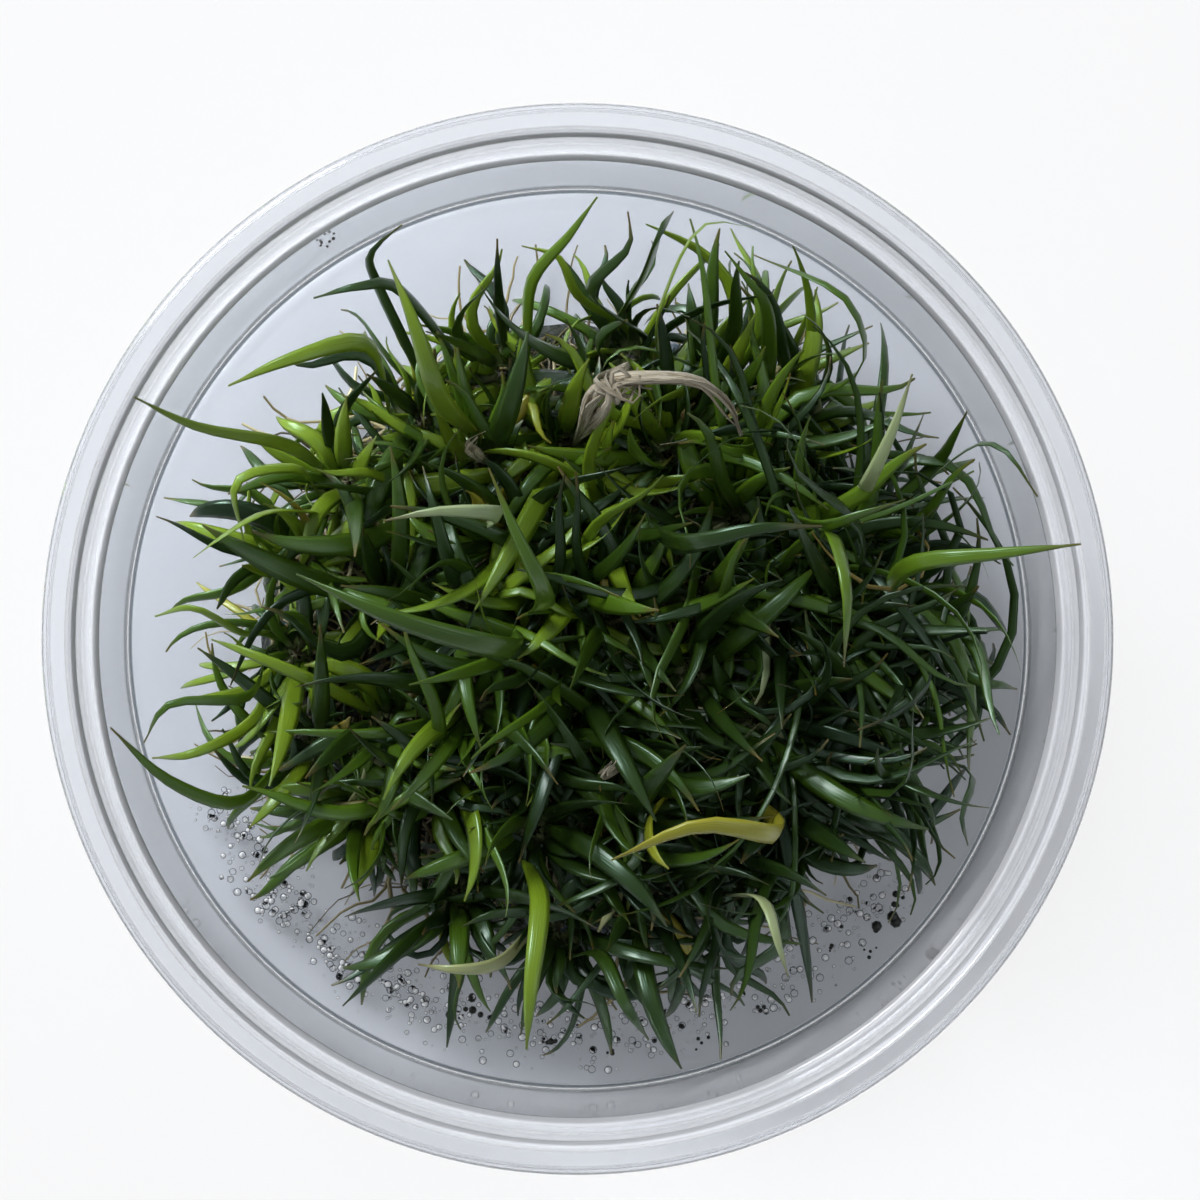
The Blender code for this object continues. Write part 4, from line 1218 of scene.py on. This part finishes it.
def floor_spots(rng):
    """Places of drops on the cup's floor between the mat and the wall."""
    for start, end, count in DROP_ARCS:
        for _ in range(count):
            angle = math.radians(rng.uniform(start, end))
            reach = min(rng.gauss(*DROP_REACH), DROP_FARTHEST)
            height = FOOT_LIFT + FLOOR + DROP_GAP
            size = DROP_SIZES[0] + (DROP_SIZES[1] - DROP_SIZES[0]) * rng.random() ** 2
            yield Vector((reach * math.cos(angle), reach * math.sin(angle), height)), size


def clustered(rng, spot, size, count):
    """Smaller lumps huddled round a spot."""
    for _ in range(count):
        yield spot + Vector((rng.gauss(0, size), rng.gauss(0, size), 0)), size * rng.uniform(0.4, 0.9)


def wet_floor(ground):
    """Condensation and crumbs on the floor, specks on the wall, and lumps of gel left between the plants."""
    rng = random.Random(LOOKS_SEED)
    drops = drops_tree()
    crumbs = []
    for pixel, size in CRUMBS:
        crumbs += clustered(rng, seen_at(pixel, FOOT_LIFT + FLOOR + DROP_GAP), size, CRUMBS_EACH)
    for pixel, height, size in WALL_SPECKS:
        crumbs += clustered(rng, seen_at(pixel, height), size, CRUMBS_EACH)
    gel = []
    for pixel, size in GEL_LUMPS:
        for near, radius in clustered(rng, seen_at(pixel, GEL_HEIGHT), size, GEL_EACH):
            if near.xy.length < mat_radius():
                near.z = ground_height(ground, near.x, near.y)
                gel.append((near, radius))
    for name, spots, (segments, squash), material in (
            ("condensation", list(floor_spots(rng)), DROP_SHAPE, condensed_water()),
            ("crumbs", crumbs, CRUMB_SHAPE, wet_crumb()),
            ("gel_lumps", gel, GEL_SHAPE, culture_gel())):
        piece = realized(name, sized_points(spots), drops,
                         {"Segments": segments, "Squash": squash, "Material": material})
        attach(piece, "root")


def route_from_crown(plantlets, points):
    """A smooth route from the nearest crown through points that were seen in the photograph."""
    nearest = min(plantlets, key=lambda plantlet: (plantlet.foot.xy - points[0].xy).length)
    start = nearest.on_crown(0.0, 0.5, 0.8)
    return smooth_route([start, start.lerp(points[0], 0.5)] + points, DEAD_STEPS)


def crumpled(rng, points, amount):
    """The points, each pushed a little aside."""
    return [point + Vector([rng.gauss(0, amount) for _ in range(3)]) for point in points]


def dead_leaves(plantlets, sweep):
    """The pale, twisted remains of a leaf that lie over the clump, and scraps of others."""
    rng = random.Random(LOOKS_SEED)
    strands = []
    for spots, count, widths, spread in DEAD_LEAVES:
        points = [seen_at(pixel, height) for pixel, height in spots]
        for _ in range(count):
            route = route_from_crown(plantlets, crumpled(rng, points, spread))
            roll = rng.uniform(-DEAD_ROLL, DEAD_ROLL)
            leaf = Leaf(route, Vector((0, 1, 0)), rng.uniform(*widths), roll, LANDMARK_SPANS)
            strands.append((leaf_rows(leaf, DEAD_STATIONS, blade_share), rng.random(), 0.0))
    piece = realized("dead_leaves", strands_object(strands), sweep,
                     {"Sides": BLADE_SIDES, "Flatness": DEAD_FLATNESS, "Material": papery_leaf()})
    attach(piece, "root")


def held_flat(outline):
    """The outline with points close to both ends of its long runs, so that these shade flat."""
    held = [outline[0]]
    for start, end in zip(outline, outline[1:]):
        run = math.dist(start, end)
        if run > 4 * HOLD:
            for share in (HOLD / run, 1 - HOLD / run):
                held.append((start[0] + (end[0] - start[0]) * share, start[1] + (end[1] - start[1]) * share))
        held.append(end)
    return held


def smooth_cup(material):
    """The cup again from the same section, with round bends and many more sides."""
    points, faces = turned(held_flat(cup_outline(FINE_ARC_STEPS)), FINE_SIDES)
    mesh = bpy.data.meshes.new("clear_cup")
    mesh.from_pydata([Vector(point) * MM for point in points], [], faces)
    mesh.materials.append(material)
    mesh.shade_smooth()
    mesh.set_sharp_from_angle(angle=math.radians(40))
    piece = linked("clear_cup", mesh)
    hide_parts("cup")
    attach(piece, "root")


def area_light(name, place, size, power, colour):
    """A square lamp that faces the middle of the cup."""
    data = bpy.data.lights.new(name, "AREA")
    data.size = size
    data.energy = power
    data.color = srgb(colour)[:3]
    lamp = linked(name, data)
    lamp.location = place
    lamp.rotation_euler = (LAMP_AIM - lamp.location).to_track_quat("-Z", "Y").to_euler()


def studio():
    """A pale floor that the camera sees as white, soft light from the upper left, and a grey world."""
    material, tree = new_material("pale_floor")
    matt = add(tree, "ShaderNodeBsdfPrincipled", {
        "Base Color": srgb("#f2f3f5"), "Roughness": 0.9, "Specular IOR Level": 0.0})
    rays = add(tree, "ShaderNodeLightPath", {})
    direct = add(tree, "ShaderNodeMath",
                 {0: rays.outputs["Is Camera Ray"], 1: rays.outputs["Is Glossy Ray"]}, operation="MAXIMUM")
    direct_share = add(tree, "ShaderNodeMath", {0: direct, 1: FLOOR_GLOW}, operation="MULTIPLY")
    share = add(tree, "ShaderNodeMix", {0: rays.outputs["Is Transmission Ray"], 2: direct_share,
                                        3: FLOOR_GLOW_THROUGH})
    glow = add(tree, "ShaderNodeEmission", {"Color": (1.0, 1.0, 1.0, 1.0), "Strength": 1.0})
    blend = add(tree, "ShaderNodeMixShader", {0: share, 1: matt, 2: glow})
    add(tree, "ShaderNodeOutputMaterial", {"Surface": blend})
    mesh = bpy.data.meshes.new("floor")
    corners = [(x * FLOOR_HALF, y * FLOOR_HALF, 0) for x, y in ((-1, -1), (1, -1), (1, 1), (-1, 1))]
    mesh.from_pydata(corners, [], [(0, 1, 2, 3)])
    mesh.materials.append(material)
    linked("floor", mesh)

    world = bpy.data.worlds.new("studio")
    world.use_nodes = True
    world.node_tree.nodes["Background"].inputs["Color"].default_value = srgb("#e8ecf2")
    world.node_tree.nodes["Background"].inputs["Strength"].default_value = WORLD_STRENGTH
    bpy.context.scene.world = world
    for lamp in LAMPS:
        area_light(*lamp)


def camera():
    """Straight above the cup, framed as the photograph is."""
    rim = CUP_HEIGHT * MM
    shown_width = RIM_DIAMETER * MM * PHOTO_SIDE / (2 * PHOTO_RIM_RADIUS)
    data = bpy.data.cameras.new("camera")
    data.sensor_width = 36.0
    data.lens = data.sensor_width * CAMERA_ABOVE_RIM / shown_width
    data.shift_x = (PHOTO_SIDE / 2 - PHOTO_CUP_MIDDLE[0]) / PHOTO_SIDE
    data.shift_y = (PHOTO_CUP_MIDDLE[1] - PHOTO_SIDE / 2) / PHOTO_SIDE
    eye = linked("camera", data)
    eye.location = (0, 0, rim + CAMERA_ABOVE_RIM)
    bpy.context.scene.camera = eye


def main():
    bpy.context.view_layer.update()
    bpy.context.scene.view_settings.view_transform = "Standard"
    camera()
    studio()
    cup = Obstacle(*turned(cup_outline(ARC_STEPS), CUP_SIDES))
    mat = Obstacle(*root_mat())
    fixed = [cup, mat] + [free_room_box(x, y) for x, y in FREE_ROOM]
    plantlets = grow_plantlets(mat.tree, fixed)
    sweep = sweep_tree()
    smooth_cup(moulded_polypropylene())
    mat_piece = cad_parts["root_mat"]
    mat_piece.data.materials.clear()
    mat_piece.data.materials.append(packed_mat())
    dress_plantlets(plantlets, fixed, sweep, leaf_skin())
    dress_mat(plantlets, mat.tree, sweep, root_skin())
    dead_leaves(plantlets, sweep)
    wet_floor(mat.tree)


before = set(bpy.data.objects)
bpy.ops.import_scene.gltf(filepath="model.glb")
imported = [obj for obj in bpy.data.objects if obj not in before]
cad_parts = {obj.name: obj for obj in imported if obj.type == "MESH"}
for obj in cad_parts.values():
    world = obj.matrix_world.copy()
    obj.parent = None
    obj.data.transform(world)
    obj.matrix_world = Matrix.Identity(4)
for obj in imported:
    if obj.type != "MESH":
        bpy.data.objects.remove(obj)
main()
